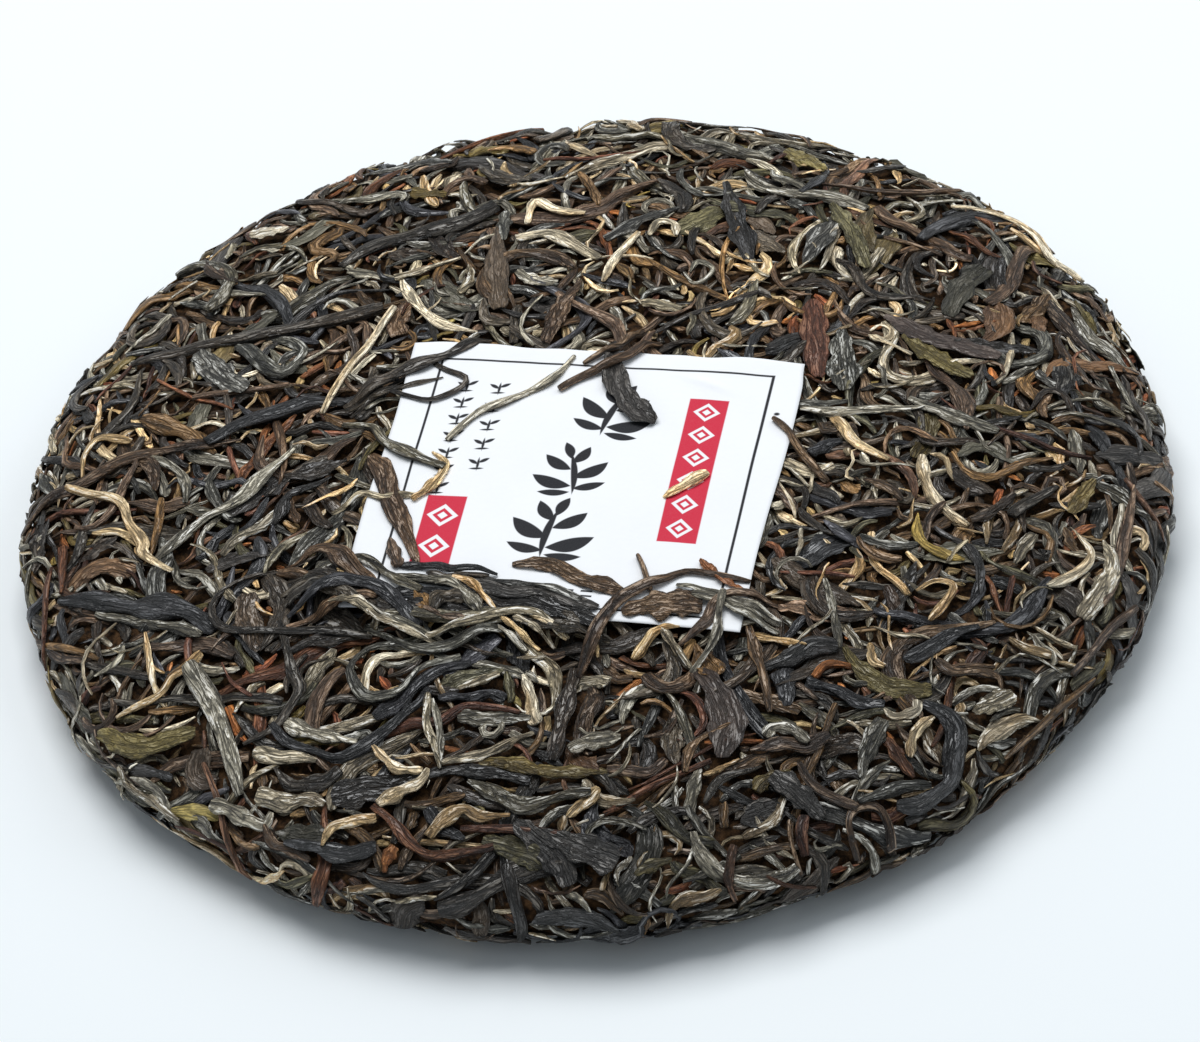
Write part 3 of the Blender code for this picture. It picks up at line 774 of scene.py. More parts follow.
# Scattered strips: how many, form, kinds, mean length and its spread, mean width, curl, and the
# stations of path and mesh and the sides; then the places in the order of laying between which they
# come, and the least share of a strip that has to show
SCATTERED = [
    ((520, "rolled", LARGE, 25, 0.24, 2.7, 0.040, 64, 22, 10), (0.0, 0.75), 0.42),
    ((820, "leaf", LEAVES, 12.5, 0.30, 3.9, 0.035, 25, 13, 10), (0.05, 0.8), 0.40),
    ((6800, "rolled", COMMON, 13, 0.30, 1.75, 0.085, 21, 11, 8), (0.1, 1.0), 0.35),
    ((6400, "rolled", COMMON, 7.5, 0.30, 1.3, 0.12, 13, 7, 6), (0.25, 1.2), 0.33),
    ((360, "stem", STEMS, 16, 0.35, 1.15, 0.02, 25, 9, 6), (0.0, 0.9), 0.28),
    ((1300, "thread", THREADS, 9.0, 0.35, 0.78, 0.12, 15, 8, 5), (0.0, 0.8), 0.28),
]

# Rounds of bits: how many, the same numbers from length on, and the least share that has to show
BIT_ROUNDS = [
    (3200, (6.5, 0.3, 1.5, 0.08, 9, 5, 6), 0.34),
    (3200, (3.8, 0.3, 1.5, 0.08, 9, 5, 6), 0.38),
    (2600, (2.6, 0.3, 1.4, 0.08, 9, 5, 6), 0.42),
]

# Where strips are pushed up to, in mm under the mould: those placed singly, the scattered ones with
# their tilt, and the bits. Then how far widths, thicknesses and tapers may be from the form's
SHOWN_START = (-0.25, 0.05)
SCATTERED_START = (-0.12, 0.42)
TILT = (-0.25, 0.25)
BIT_START = (0.10, 0.75)
WIDTH_SPREAD = 0.22
WIDTH_LIMITS = (0.6, 1.6)
THICKNESS_RANGE = (0.7, 1.2)
TAPER_RANGE = (0.4, 2.4)
FAR_BELOW = -9.0


def route_batch(route, width, form, rng):
    """A batch of one strip that follows a route."""
    batch = Batch(follow(route, ROUTE_FINE), ROUTE_STATIONS, ROUTE_SIDES)
    shape = FORMS[form]
    batch.set_shape(np.array([width]), np.array([shape["thick"]]), np.array([shape["taper"]]),
                    shape["wobble"], rng)
    return batch


def lay_over_ticket(mat, batch, above, clear):
    """Lay a strip over the ticket and what is on it, clear of the paper. Beside the ticket it sinks
    into the mat, and there the mat's own strips will slip under it."""
    cells = batch.paths.cells(batch.half)[0]
    thick = batch.thick[0]
    point = batch.paths.frames()[0][0]
    inside = beside_ticket(point[:, 0], point[:, 1]) < TICKET_MARGIN
    bed = np.where(inside, TICKET_LIFT + clear, -1.5 * thick)
    lower = np.maximum(above[cells].max(axis=1) - PRESS, bed)
    lower = draped(lower, STEEPEST_ON_TICKET * batch.paths.step[0])
    lower = smoothed(lower, np.hanning(9)[1:-1] / np.hanning(9).sum())
    length = batch.paths.step[0] * (len(thick) - 1)
    for end in (0, -1):
        if not inside[end]:
            way_in = np.abs(batch.place - batch.place[end]) * length
            lower = lower - END_DIP * smooth_step(1 - way_in / END_LENGTH, 0, 1)
    above[cells] = np.maximum(above[cells], (lower + 1.3 * thick)[:, None])
    sunk = ~inside
    mat.depth[cells[sunk]] = np.maximum(mat.depth[cells[sunk]], (-lower[sunk])[:, None])
    batch.top[0] = -(lower + 2 * thick)
    batch.kept[0] = True


# ---------------------------------------------------------------- the plan of the whole mat


class Plan:
    """Every strip of the cake, laid once and shared by the pieces."""

    def __init__(self):
        self.rng = np.random.default_rng(2014)
        self.mat = Mat()
        self.strips = []
        self.ticket = []
        self.lay_shown()
        self.lay_rest()

    def lay_shown(self):
        """The strips placed one by one, over the ticket and flush with the cake."""
        above = np.full(len(self.mat.depth), FAR_BELOW)
        for name, kind, colour, form, width, route in TICKET_STRIPS:
            batch = route_batch(route, width, form, self.rng)
            lay_over_ticket(self.mat, batch, above, LEAF_GAP if form == "leaf" else STRIP_GAP)
            self.ticket.append((name, batch, kind, colour, form))
        for kind, colour, form, width, route in SHOWN_STRIPS:
            batch = route_batch(route, width, form, self.rng)
            cells = batch.paths.cells(batch.half)[0]
            start = np.full(ROUTE_FINE, self.rng.uniform(*SHOWN_START))
            top = self.mat.lay(cells, batch.thick[0], start, 0.0, batch.paths.step[0])
            if top is not None:
                batch.kept[0] = True
                batch.top[0] = top
                self.strips.append((batch, np.array([kind]), np.array([colour]), form))

    def add(self, count, form, shares, length, spread, width, curl, fine, stations, sides, **where):
        """A batch of scattered strips with its kinds drawn by their shares."""
        rng = self.rng
        batch = Batch(scatter(rng, count, length, spread, curl, fine, **where), stations, sides)
        shape = FORMS[form]
        widths = width * np.exp(WIDTH_SPREAD * rng.normal(size=count)).clip(*WIDTH_LIMITS)
        thick = shape["thick"] * rng.uniform(*THICKNESS_RANGE, count)
        taper = shape["taper"] * rng.uniform(*TAPER_RANGE, count)
        batch.set_shape(widths, thick, taper, shape["wobble"], rng)
        names = np.array(list(shares))
        share = np.array(list(shares.values()), dtype=float)
        kinds = rng.choice(names, count, p=share / share.sum())
        colours = rng.integers(0, 100, count)
        self.strips.append((batch, kinds, colours, form))
        return batch

    def lay_rest(self):
        """The scattered strips, large and small mixed, then slivers and crumbs in the gaps."""
        rng = self.rng
        batches = [self.add(*settings) for settings, _, _ in SCATTERED]
        order = []
        start = []
        for index, (batch, (_, turns, _)) in enumerate(zip(batches, SCATTERED)):
            key = rng.uniform(*turns, batch.count)
            order += list(zip(key, [index] * batch.count, range(batch.count)))
            middle = rng.uniform(*SCATTERED_START, (batch.count, 1))
            tilt = rng.uniform(*TILT, (batch.count, 1))
            start.append(middle + tilt * (2 * batch.place - 1))
        order.sort()
        least = [share for _, _, share in SCATTERED]
        lay_batches(self.mat, batches, [entry[1:] for entry in order], start, least)
        for count, settings, share in BIT_ROUNDS:
            bare = np.flatnonzero(self.mat.depth <= 0)
            chosen = rng.choice(bare, min(count, len(bare)), replace=False)
            where = {"arcs": self.mat.arc[chosen], "turns": self.mat.turn[chosen]}
            batch = self.add(len(chosen), "rolled", BITS, *settings, **where)
            deep = rng.uniform(*BIT_START, (batch.count, 1)) + 0 * batch.place
            order = [(0, row) for row in range(batch.count)]
            lay_batches(self.mat, [batch], order, [deep], [share])


_plan = []


def plan():
    """The shared plan, made the first time that a piece needs it."""
    if not _plan:
        _plan.append(Plan())
    return _plan[0]


# ---------------------------------------------------------------- meshes


class Surface:
    """Points, faces and point attributes gathered for one piece."""

    def __init__(self):
        self.points = []
        self.quads = []
        self.triangles = []
        self.attributes = {"tint": [], "grain": [], "ridge": []}
        self.size = 0

    def add(self, points, quads, triangles, **attributes):
        """Add a block of points, with faces that count from its first point."""
        self.points.append(points)
        self.quads.append(quads + self.size)
        self.triangles.append(triangles + self.size)
        for name, values in attributes.items():
            self.attributes[name].append(values)
        self.size += len(points)

    def object(self, name, material):
        """The finished object, with smooth faces."""
        points = np.concatenate(self.points) * MM
        quads = np.concatenate(self.quads).astype(np.int32)
        triangles = np.concatenate(self.triangles).astype(np.int32)
        mesh = bpy.data.meshes.new(name)
        mesh.vertices.add(len(points))
        mesh.vertices.foreach_set("co", points.astype(np.float32).ravel())
        corners = np.concatenate([quads.ravel(), triangles.ravel()])
        mesh.loops.add(len(corners))
        mesh.loops.foreach_set("vertex_index", corners)
        sizes = np.concatenate([np.full(len(quads), 4), np.full(len(triangles), 3)])
        starts = np.concatenate([[0], np.cumsum(sizes)[:-1]]).astype(np.int32)
        mesh.polygons.add(len(sizes))
        mesh.polygons.foreach_set("loop_start", starts)
        mesh.update(calc_edges=True)
        mesh.validate()
        mesh.shade_smooth()
        forms = {"tint": ("FLOAT_COLOR", "color"), "grain": ("FLOAT_VECTOR", "vector"),
                 "ridge": ("FLOAT", "value")}
        for attribute, parts in self.attributes.items():
            if parts:
                kind, key = forms[attribute]
                layer = mesh.attributes.new(attribute, kind, "POINT")
                layer.data.foreach_set(key, np.concatenate(parts).astype(np.float32).ravel())
        obj = bpy.data.objects.new(name, mesh)
        obj.data.materials.append(material)
        bpy.context.scene.collection.objects.link(obj)
        return obj


def tube_faces(count, stations, sides):
    """Quads round closed tubes and triangles to a point at each end, for tubes whose points run
    station by station and end with the two end points."""
    ring = np.arange(sides)
    station = np.arange(stations - 1)[:, None] * sides
    here, there = ring + station, (ring + 1) % sides + station
    quads = np.stack([here, there, there + sides, here + sides], -1).reshape(-1, 4)
    last = (stations - 1) * sides
    near, far = stations * sides, stations * sides + 1
    after = (ring + 1) % sides
    start = np.stack([np.full(sides, near), after, ring], -1)
    finish = np.stack([np.full(sides, far), ring + last, after + last], -1)
    triangles = np.concatenate([start, finish])
    block = (np.arange(count) * (stations * sides + 2))[:, None, None]
    return (quads + block).reshape(-1, 4), (triangles + block).reshape(-1, 3)


def leaf_section(rng, x, y, half, along, theta, phase):
    """A thin ellipse made a leaf's section, with its ridges.

    Two ripples run along the leaf, the shorter one at half the height. The section is cambered,
    leans to one side and folds along its middle. Both edges are torn by smoothed noise."""
    count, stations = x.shape[:2]
    across = np.cos(theta)
    ripple = rng.uniform(0.08, 0.32, (count, 1, 1))
    length = rng.uniform(3.0, 7.0, (count, 1, 1))
    camber = rng.uniform(-0.36, 0.30, (count, 1, 1))
    lean = rng.uniform(-0.10, 0.10, (count, 1, 1))
    valley = rng.uniform(-0.10, 0.34, (count, 1, 1))
    wave = np.sin(FULL_TURN * along / length + 2.4 * across + phase)
    short_wave = np.sin(FULL_TURN * along / (0.37 * length) - 3.5 * across + 2 * phase)
    y = y + ripple * (wave + 0.5 * short_wave) * (0.4 + 0.6 * np.abs(across))
    y = y + half * (camber * (across ** 2 - 0.4) + lean * across)
    y = y + half * valley * (np.abs(across) - 0.6)
    torn = 0.12 * rng.normal(size=(count, stations + 2, 2))
    torn = (torn[:, :-2] + 1.4 * torn[:, 1:-1] + torn[:, 2:]) / 2.4
    x = x * (1 + np.where(across > 0, torn[..., :1], torn[..., 1:]))
    ridge = 0.55 + 0.3 * np.abs(across) ** 3 + 0.15 * wave
    return x, y, ridge


def end_colours(kinds, colours):
    """The colours at both ends of each strip, drawn from its kind's pairs."""
    ends = np.empty((2, len(kinds), 3))
    for kind in np.unique(kinds):
        pairs = np.array([[rgb(*colour) for colour in pair] for pair in COLOURS[kind]])
        chosen = np.flatnonzero(kinds == kind)
        ends[:, chosen] = pairs[colours[chosen] % len(pairs)].swapaxes(0, 1)
    return ends[0][:, None, None], ends[1][:, None, None]


def brightness(rng, kinds, point, top):
    """How light each station is: by the strip's level, with painted shade by its depth and painted light
    and shade by its place on the cake. A strip on its own is one placed singly."""
    shown = len(kinds) == 1
    level = SHOWN_LEVEL.get(kinds[0], OTHER_SHOWN_LEVEL) if shown else SCATTERED_LEVEL
    spread = SHOWN_SPREAD if shown else SCATTERED_SPREAD
    bright = level * np.exp(spread * rng.normal(size=(len(kinds), 1, 1)))
    # Painted shade on strips that lie deeper under the surface
    share, low, high = PAINTED_SHADE_BELOW
    bright = bright * (1 - share * smooth_step(top, low, high))[..., None]
    # Painted light on the far side, and painted shade towards the near side and the rim
    x, y = point[..., 0], point[..., 1]
    across = x * PAINTED_SHADE_WAY[0] + y * PAINTED_SHADE_WAY[1]
    darker = sum(share * smooth_step(across, low, high) for share, low, high in PAINTED_SHADE_SIDE)
    share, low, high = PAINTED_SHADE_RIM
    darker = darker + share * smooth_step(np.hypot(x, y), low, high)
    return bright * (PAINTED_LIGHT_MOST - darker)[..., None]


def with_ends(values):
    """Values round each station as one row a strip, with those of the two end points after them."""
    count, _, _, size = values.shape
    return np.concatenate([values.reshape(count, -1, size), values[:, 0, :1], values[:, -1, :1]], axis=1)


def shape_strips(batch, rows, kinds, colours, form, rng):
    """The points of a batch's strips, with their tint, grain and ridge.

    A rolled strip's section is an ellipse whose radius swells by waves of two and three lobes,
    which turn along it. A leaf's section is a thin ellipse bent across its width. The section is
    carried along the path, under the pressed surface, and what would reach under the foot is
    pressed flat on it. The grain holds the place in the section and along the strip.
    """
    pick = np.linspace(0, batch.paths.arc.shape[1] - 1, batch.stations).round().astype(int)
    paths = Paths(batch.paths.arc[rows][:, pick], batch.paths.turn[rows][:, pick],
                  batch.paths.way[rows][:, pick], batch.paths.step[rows])
    point, _, side, out, _, _ = paths.frames()
    half, thick = batch.half[rows][:, pick], batch.thick[rows][:, pick]
    top = batch.top[rows][:, pick]
    kinds, colours = kinds[rows], colours[rows]
    count = len(rows)
    along = paths.step[:, None] * pick
    shape = FORMS[form]

    theta = FULL_TURN * np.arange(batch.sides) / batch.sides
    turn = rng.uniform(-1, 1, (count, 1)) * shape["twist"] * along + any_angle(rng, count, 1)
    lobe = shape["lobe"] * rng.uniform(0.4, 1.4, (count, 1, 1))
    phase = any_angle(rng, count, 1, 1)
    swell = np.cos(2 * (theta - turn[..., None])) + 0.8 * np.cos(3 * theta - 1.6 * turn[..., None] + phase)
    x = half[..., None] * (1 + lobe * swell) * np.cos(theta)
    y = thick[..., None] * (1 + lobe * swell) * np.sin(theta)
    ridge = 0.5 + 0.42 * swell
    if form == "leaf":
        x, y, ridge = leaf_section(rng, x, y, half[..., None], along[..., None], theta, phase)
    ridge = np.clip(ridge, 0, 1)

    middle = point + out * (unevenness(point) - top - thick)[..., None]
    skin = middle[:, :, None] + side[:, :, None] * x[..., None] + out[:, :, None] * y[..., None]
    points = np.concatenate([skin.reshape(count, -1, 3), middle[:, [0, -1]]], axis=1)
    points[..., 2] = points[..., 2].clip(FOOT_CLEARANCE)

    grain = np.stack([x, y, np.broadcast_to(along[..., None], x.shape)], -1).reshape(count, -1, 3)
    ends = np.stack([0 * along[:, [0, -1]], 0 * along[:, [0, -1]], along[:, [0, -1]]], -1)
    grain = np.concatenate([grain, ends], axis=1) + rng.uniform(0, 400, (count, 1, 3))

    first, second = end_colours(kinds, colours)
    bright = brightness(rng, kinds, point, top)
    beat = rng.uniform(0.4, 1.6, (count, 1))
    share = 0.5 + 0.5 * np.sin(FULL_TURN * beat * along / along[:, -1:] + any_angle(rng, count, 1))
    face = 0.5 + 0.5 * np.cos(theta - turn[..., None] + any_angle(rng, count, 1, 1))
    # The lighter end colour: along the strip and on one face it is the leaf's own two tones; more of it on
    # the section's swells is partly the leaf's own tone and partly painted highlight
    share = (0.35 * share[..., None] + 0.2 * ridge + 0.45 * smooth_step(face, 0.2, 0.8))[..., None]
    tint = (first * (1 - share) + second * share) * bright[..., None] * WARMTH
    tint = np.concatenate([tint, np.ones_like(tint[..., :1])], axis=-1)
    return points, with_ends(tint), grain, with_ends(ridge[..., None])


def add_strips(surface, batch, rows, kinds, colours, form, rng):
    """Shape some of a batch's strips and add them to a piece's surface."""
    if len(rows) == 0:
        return
    points, tint, grain, ridge = shape_strips(batch, rows, kinds, colours, form, rng)
    quads, triangles = tube_faces(len(rows), batch.stations, batch.sides)
    surface.add(points.reshape(-1, 3), quads, triangles, tint=tint.reshape(-1, 4),
                grain=grain.reshape(-1, 3), ridge=ridge.ravel())


# ---------------------------------------------------------------- shader maths


def math_operator(operation, swapped=False):
    """An operator of Number that adds a Math node, with its two values swapped or not."""
    def apply(self, other):
        return self.math(operation, *((other, self) if swapped else (self, other)))
    return apply


class Number:
    """A number that varies over the surface. Its operators add Math nodes."""

    def __init__(self, shader, socket):
        self.shader = shader
        self.socket = socket

    def math(self, operation, *values):
        """The result of a Math node."""
        node = self.shader.node("ShaderNodeMath", {"operation": operation}, dict(enumerate(values)))
        return Number(self.shader, node.outputs[0])

    __add__ = __radd__ = math_operator("ADD")
    __sub__ = math_operator("SUBTRACT")
    __rsub__ = math_operator("SUBTRACT", True)
    __mul__ = __rmul__ = math_operator("MULTIPLY")
    __truediv__ = math_operator("DIVIDE")
    __pow__ = math_operator("POWER")
    most = math_operator("MAXIMUM")

    def __abs__(self):
        return self.math("ABSOLUTE", self)

    def wrap(self, size):
        """The number's place in a repeat of that size, from minus half of it to half."""
        return self.math("WRAP", self, size / 2, -size / 2)

    def rise(self, low, high):
        """0 up to low, 1 from high, and a smooth rise between them."""
        node = self.shader.node("ShaderNodeMapRange", {"interpolation_type": "SMOOTHSTEP"},
                                {0: self, 1: low, 2: high, 3: 0.0, 4: 1.0})
        return Number(self.shader, node.outputs[0])


class Shader:
    """A material with one Principled shader, and the ways to add nodes to it."""

    def __init__(self, name, roughness=0.5):
        self.material = bpy.data.materials.new(name)
        self.material.use_nodes = True
        self.tree = self.material.node_tree
        self.principled = self.tree.nodes["Principled BSDF"]
        self.principled.inputs["Roughness"].default_value = roughness

    def node(self, kind, settings=None, inputs=None):
        """A node of that type, with its settings, and then the values or links of its sockets."""
        node = self.tree.nodes.new(kind)
        for name, value in (settings or {}).items():
            setattr(node, name, value)
        for key, value in (inputs or {}).items():
            socket = node.inputs[key]
            if isinstance(value, Number):
                self.tree.links.new(value.socket, socket)
            elif isinstance(value, bpy.types.NodeSocket):
                self.tree.links.new(value, socket)
            else:
                socket.default_value = value
        return node

    def place(self):
        """The point's place in the object, in metres."""
        return self.node("ShaderNodeTexCoord").outputs["Object"]

    def attribute(self, name, output):
        """A point attribute's value."""
        return self.node("ShaderNodeAttribute", {"attribute_name": name}).outputs[output]

    def stretch(self, vector, scale):
        """A vector times a scale for each axis."""
        return self.node("ShaderNodeVectorMath", {"operation": "MULTIPLY"}, {0: vector, 1: scale}).outputs[0]

    def noise(self, vector, scale=1.0, detail=3.0, rough=0.55, bent=0.0):
        """Smooth noise from 0 to 1, bent by noise of its own."""
        node = self.node("ShaderNodeTexNoise", {}, {"Vector": vector, "Scale": scale, "Detail": detail,
                                                   "Roughness": rough, "Distortion": bent})
        return Number(self, node.outputs[0])

    def tone(self, colour, factor):
        """A colour made lighter or darker by a number."""
        node = self.node("ShaderNodeVectorMath", {"operation": "SCALE"}, {0: colour, "Scale": factor})
        return node.outputs[0]

    def mix(self, factor, first, second):
        """From one colour to another."""
        node = self.node("ShaderNodeMix", {"data_type": "RGBA"}, {0: factor, 6: first, 7: second})
        return node.outputs[2]

    def finish(self, colour, roughness, height, depth):
        """Link the colour, the roughness and a bump of that height in metres."""
        self.tree.links.new(colour, self.principled.inputs["Base Color"])
        if isinstance(roughness, Number):
            self.tree.links.new(roughness.socket, self.principled.inputs["Roughness"])
        bump = self.node("ShaderNodeBump", {}, {"Strength": 1.0, "Distance": depth, "Height": height})
        self.tree.links.new(bump.outputs[0], self.principled.inputs["Normal"])
        return self.material


def four(colour):
    """A colour with full alpha."""
    return (*colour, 1.0)


def tea_material(name, pale, ridges, crease_depth_and_shade, rough, wax):
    """Dried leaf, pleated along its length. Two stretched noises are folded at their middle
    value: there they leave creases darkened by painted shade, and between these the pleats rise to pale
    crests that are partly the leaf's own paler ridges and partly painted highlight. The section's grooves
    get painted shade as well."""
    shader = Shader(name)
    shader.principled.inputs["IOR"].default_value = wax
    grain = shader.attribute("grain", "Vector")
    tint = shader.attribute("tint", "Color")
    ridge = Number(shader, shader.attribute("ridge", "Fac"))
    broad = abs(shader.noise(shader.stretch(grain, (0.9, 0.9, 0.13)), 1.0, 1.5, 0.5, 0.5) - 0.5)
    fine = abs(shader.noise(shader.stretch(grain, (2.4, 2.4, 0.36)), 1.0, 2.0, 0.6, 0.8) - 0.5)
    blotch = shader.noise(shader.stretch(grain, (0.8, 0.8, 0.35)), 1.0, 4.0, 0.65)
    fleck = shader.noise(grain, 4.3, 2.0, 0.7)
    broad_fold = broad.rise(0.0, 0.085)
    fine_fold = fine.rise(0.0, 0.07)
    pleat = broad_fold * (0.5 + 0.5 * fine_fold)
    # Pale crests: partly the leaf's own paler ridges, partly painted highlight
    crest_and_highlight = broad.rise(0.05, 0.15) * fine.rise(0.02, 0.11) * ridge.rise(0.15, 0.75)
    # Painted shade in the grooves of the section
    groove_shade = 1 - ridge.rise(0.05, 0.55)
    # Painted shade in the creases and the grooves, times the leaf's own blotches
    shade = (1 - crease_depth_and_shade * (1 - pleat)) * (1 - 0.5 * groove_shade) * (0.45 + 1.3 * blotch)
    body = shader.tone(tint, shade)
    flecks = fleck.rise(0.64, 0.74) * 0.5
    colour = shader.mix((crest_and_highlight + flecks) * ridges, body, four(pale))
    roughness = rough + 0.2 * (1 - pleat) + 0.3 * (blotch - 0.5)
    height = broad_fold * 0.65 + fine_fold * 0.35
    return shader.finish(colour, roughness, height, 0.0009 * crease_depth_and_shade)


# For each kind: the colour of the pale crests, partly the leaf's own and partly painted highlight; how
# much they show; the creases' depth and how dark their painted shade is; roughness and index of refraction
FINISHES = {
    "charcoal": ((0.46, 0.43, 0.38), 0.38, 0.70, 0.33, 1.56),
    "ink": ((0.34, 0.34, 0.35), 0.30, 0.58, 0.30, 1.57),
    "slate": ((0.82, 0.80, 0.74), 0.74, 0.80, 0.36, 1.54),
    "umber": ((0.62, 0.46, 0.32), 0.44, 0.66, 0.38, 1.52),
    "silver": ((1.0, 0.96, 0.88), 1.05, 0.78, 0.42, 1.52),
    "gold": ((1.0, 0.95, 0.84), 0.85, 0.62, 0.42, 1.52),
    "russet": ((0.50, 0.30, 0.18), 0.30, 0.60, 0.42, 1.48),
    "olive": ((0.50, 0.44, 0.26), 0.30, 0.55, 0.40, 1.50),
    "leaf": ((0.34, 0.30, 0.26), 0.26, 0.46, 0.36, 1.52),
    "crumb": ((0.62, 0.42, 0.24), 0.30, 0.60, 0.50, 1.46),
}
_finishes = {}


def finish_of(kind):
    """The material of a kind of tea, made once."""
    if kind not in _finishes:
        _finishes[kind] = tea_material(f"{kind}_tea", *FINISHES[kind])
    return _finishes[kind]


# ---------------------------------------------------------------- the ticket's print


class Print:
    """Shapes drawn on the ticket in mm from its middle, as numbers from 0 to 1."""

    def __init__(self, shader, x, y):
        self.shader = shader
        self.x = x
        self.y = y

    def edge(self, distance, soft=0.12):
        """Ink where the distance is below nothing."""
        return 1 - distance.rise(-soft, soft)

    def box(self, x, y, width, height):
        """A filled box round a middle."""
        return self.edge((abs(self.x - x) - width / 2).most(abs(self.y - y) - height / 2))

    def frame(self, x, y, width, height, line):
        """The outline of a box."""
        distance = (abs(self.x - x) - width / 2).most(abs(self.y - y) - height / 2)
        return self.edge(abs(distance) - line / 2, 0.09)

    def turned(self, x, y, angle):
        """Coordinates along and across a direction, from a middle."""
        cos, sin = math.cos(math.radians(angle)), math.sin(math.radians(angle))
        along = (self.x - x) * cos + (self.y - y) * sin
        across = (self.y - y) * cos - (self.x - x) * sin
        return along, across

    def blade(self, x, y, angle, length, width, bend=0.0):
        """A pointed leaf: its half width falls with the square of the way to its tips."""
        along, across = self.turned(x, y, angle)
        part = along / (length / 2)
        across = across - bend * (1 - part * part)
        return self.edge(abs(across) - width / 2 * (1 - part * part))

    def rosette(self, x, y, size):
        """A diamond ring with a dot in it."""
        distance = abs(self.x - x) + abs(self.y - y)
        ring = self.edge(abs(distance - 0.75 * size) - 0.16 * size)
        dot = self.edge(distance - 0.3 * size)
        return ring.most(dot)


def together(shapes):
    """The most of several shapes."""
    total = shapes[0]
    for shape in shapes[1:]:
        total = total.most(shape)
    return total


# A tea sprig as blades round a stem: place, angle, length, width and bend in mm
SPRIG = [(0, -0.4, 90, 11.0, 1.3, 0.5), (3.7, -1.8, 28, 8.0, 2.9, -0.7), (-3.4, 0.3, 152, 7.6, 2.8, 0.7),
         (2.4, 2.9, 44, 6.4, 2.5, -0.5), (-1.8, 4.4, 130, 5.4, 2.2, 0.4), (0.5, 5.8, 78, 4.6, 1.9, 0.2),
         (-3.1, -3.9, 172, 6.2, 2.0, 0.4), (3.4, -4.9, 6, 6.0, 1.7, -0.3)]

# The print in mm from the ticket's middle: three sprigs with their lean, side and size, and a sprout
SPRIG_PLACES = [(4.4, 16.6, -14, 1, 0.98), (-0.2, 1.6, 10, -1, 0.92), (-1.2, -13.0, -6, 1, 1.06)]
SPROUT = [(0, -0.2, 90, 3.2, 0.5), (-0.9, 0.3, 150, 2.2, 0.75), (0.9, 0.7, 35, 2.2, 0.75),
          (-0.1, -1.3, 5, 2.6, 0.5)]

# Columns of sprouts: place, lower and upper end and pitch. Then boxes: middle, width and height
SPROUT_COLUMNS = [(-16.6, 0.0, 24.0, 4.8), (-22.4, -6.0, 24.0, 4.3)]
FRAME = (0.7, -0.8, 57.5, 58.6)
FRAME_LINE = 0.46
BAR = (20.2, 4.0, 6.6, 35.0)
BLOCK = (-20.2, -14.2, 6.8, 16.8)

# Rosettes: how many, their pitch and size; the dot: place and radius; dashes: middle, reach and pitch
BAR_ROSETTES = (6, 5.7, 2.5)
BLOCK_ROSETTES = (2, 7.4, 3.0)
DOT = (31.2, 19.0, 0.4)
DASHES = (1.0, -26.8, 8.0, 3.2)


def sprig(draw, x, y, lean, side, size):
    """A sprig round a middle, leaning, mirrored for a side of -1, at a size."""
    cos, sin = math.cos(math.radians(lean)) * size, math.sin(math.radians(lean)) * size
    blades = []
    for dx, dy, angle, length, width, bend in SPRIG:
        turned = lean + (angle if side > 0 else 180 - angle)
        blades.append(draw.blade(x + side * dx * cos - dy * sin, y + side * dx * sin + dy * cos, turned,
                                 length * size, width * size, side * bend * size))
    return together(blades)


def sprout_column(draw, x, low, high, pitch):
    """A column of small sprouts, one above the other."""
    middle = (low + high) / 2
    column = Print(draw.shader, draw.x - x, (draw.y - middle).wrap(pitch))
    sprouts = together([column.blade(*blade) for blade in SPROUT])
    return sprouts * draw.edge(abs(draw.y - middle) - (high - low) / 2)


def dashes(draw, x, y, reach, pitch):
    """A short row of paired dashes."""
    across = (draw.x - x).wrap(pitch)
    row = draw.edge((abs(across) - 1.0).most(abs(abs(draw.y - y) - 0.55) - 0.2), 0.08)
    return row * draw.edge(abs(draw.x - x) - reach)


def rosettes(draw, box, count, pitch, size):
    """A column of rosettes in a box."""
    x, y = box[:2]
    return [draw.rosette(x, y + pitch * (step - (count - 1) / 2), size) for step in range(count)]


def ticket_material(paper, red, ink):
    """White paper with a thin dark frame, a red bar and a red block with white rosettes, three
    brushed sprigs, columns of small sprouts and a row of dashes."""
    shader = Shader("printed_paper", 0.62)
    flat = shader.node("ShaderNodeSeparateXYZ", {}, {0: shader.attribute("print", "Vector")})
    draw = Print(shader, Number(shader, flat.outputs[0]), Number(shader, flat.outputs[1]))
    sprigs = together([sprig(draw, *place) for place in SPRIG_PLACES])
    frame = draw.frame(*FRAME, FRAME_LINE)
    small = [sprout_column(draw, *column) for column in SPROUT_COLUMNS] + [dashes(draw, *DASHES)]
    x, y, radius = DOT
    dot = draw.edge(((draw.x - x) ** 2 + (draw.y - y) ** 2) - radius ** 2)
    black = together([sprigs, frame, dot] + small)

    red_fields = draw.box(*BAR), draw.box(*BLOCK)
    white = rosettes(draw, BAR, *BAR_ROSETTES) + rosettes(draw, BLOCK, *BLOCK_ROSETTES)
    stamp = together(red_fields) * (1 - together(white))

    place = shader.place()
    fibre = shader.noise(place, 900.0, 4.0, 0.6)
    wear = shader.noise(place, 5200.0, 2.0, 0.6)
    sheet = shader.tone(tuple(paper), 0.985 + 0.03 * fibre)
    reds = shader.mix(stamp * (0.93 + 0.07 * wear), sheet, four(red))
    colour = shader.mix(black * (0.95 + 0.05 * wear), reds, four(ink))
    shader.principled.inputs["IOR"].default_value = 1.2
    return shader.finish(colour, 0.75 - 0.1 * black, fibre, 0.00005)


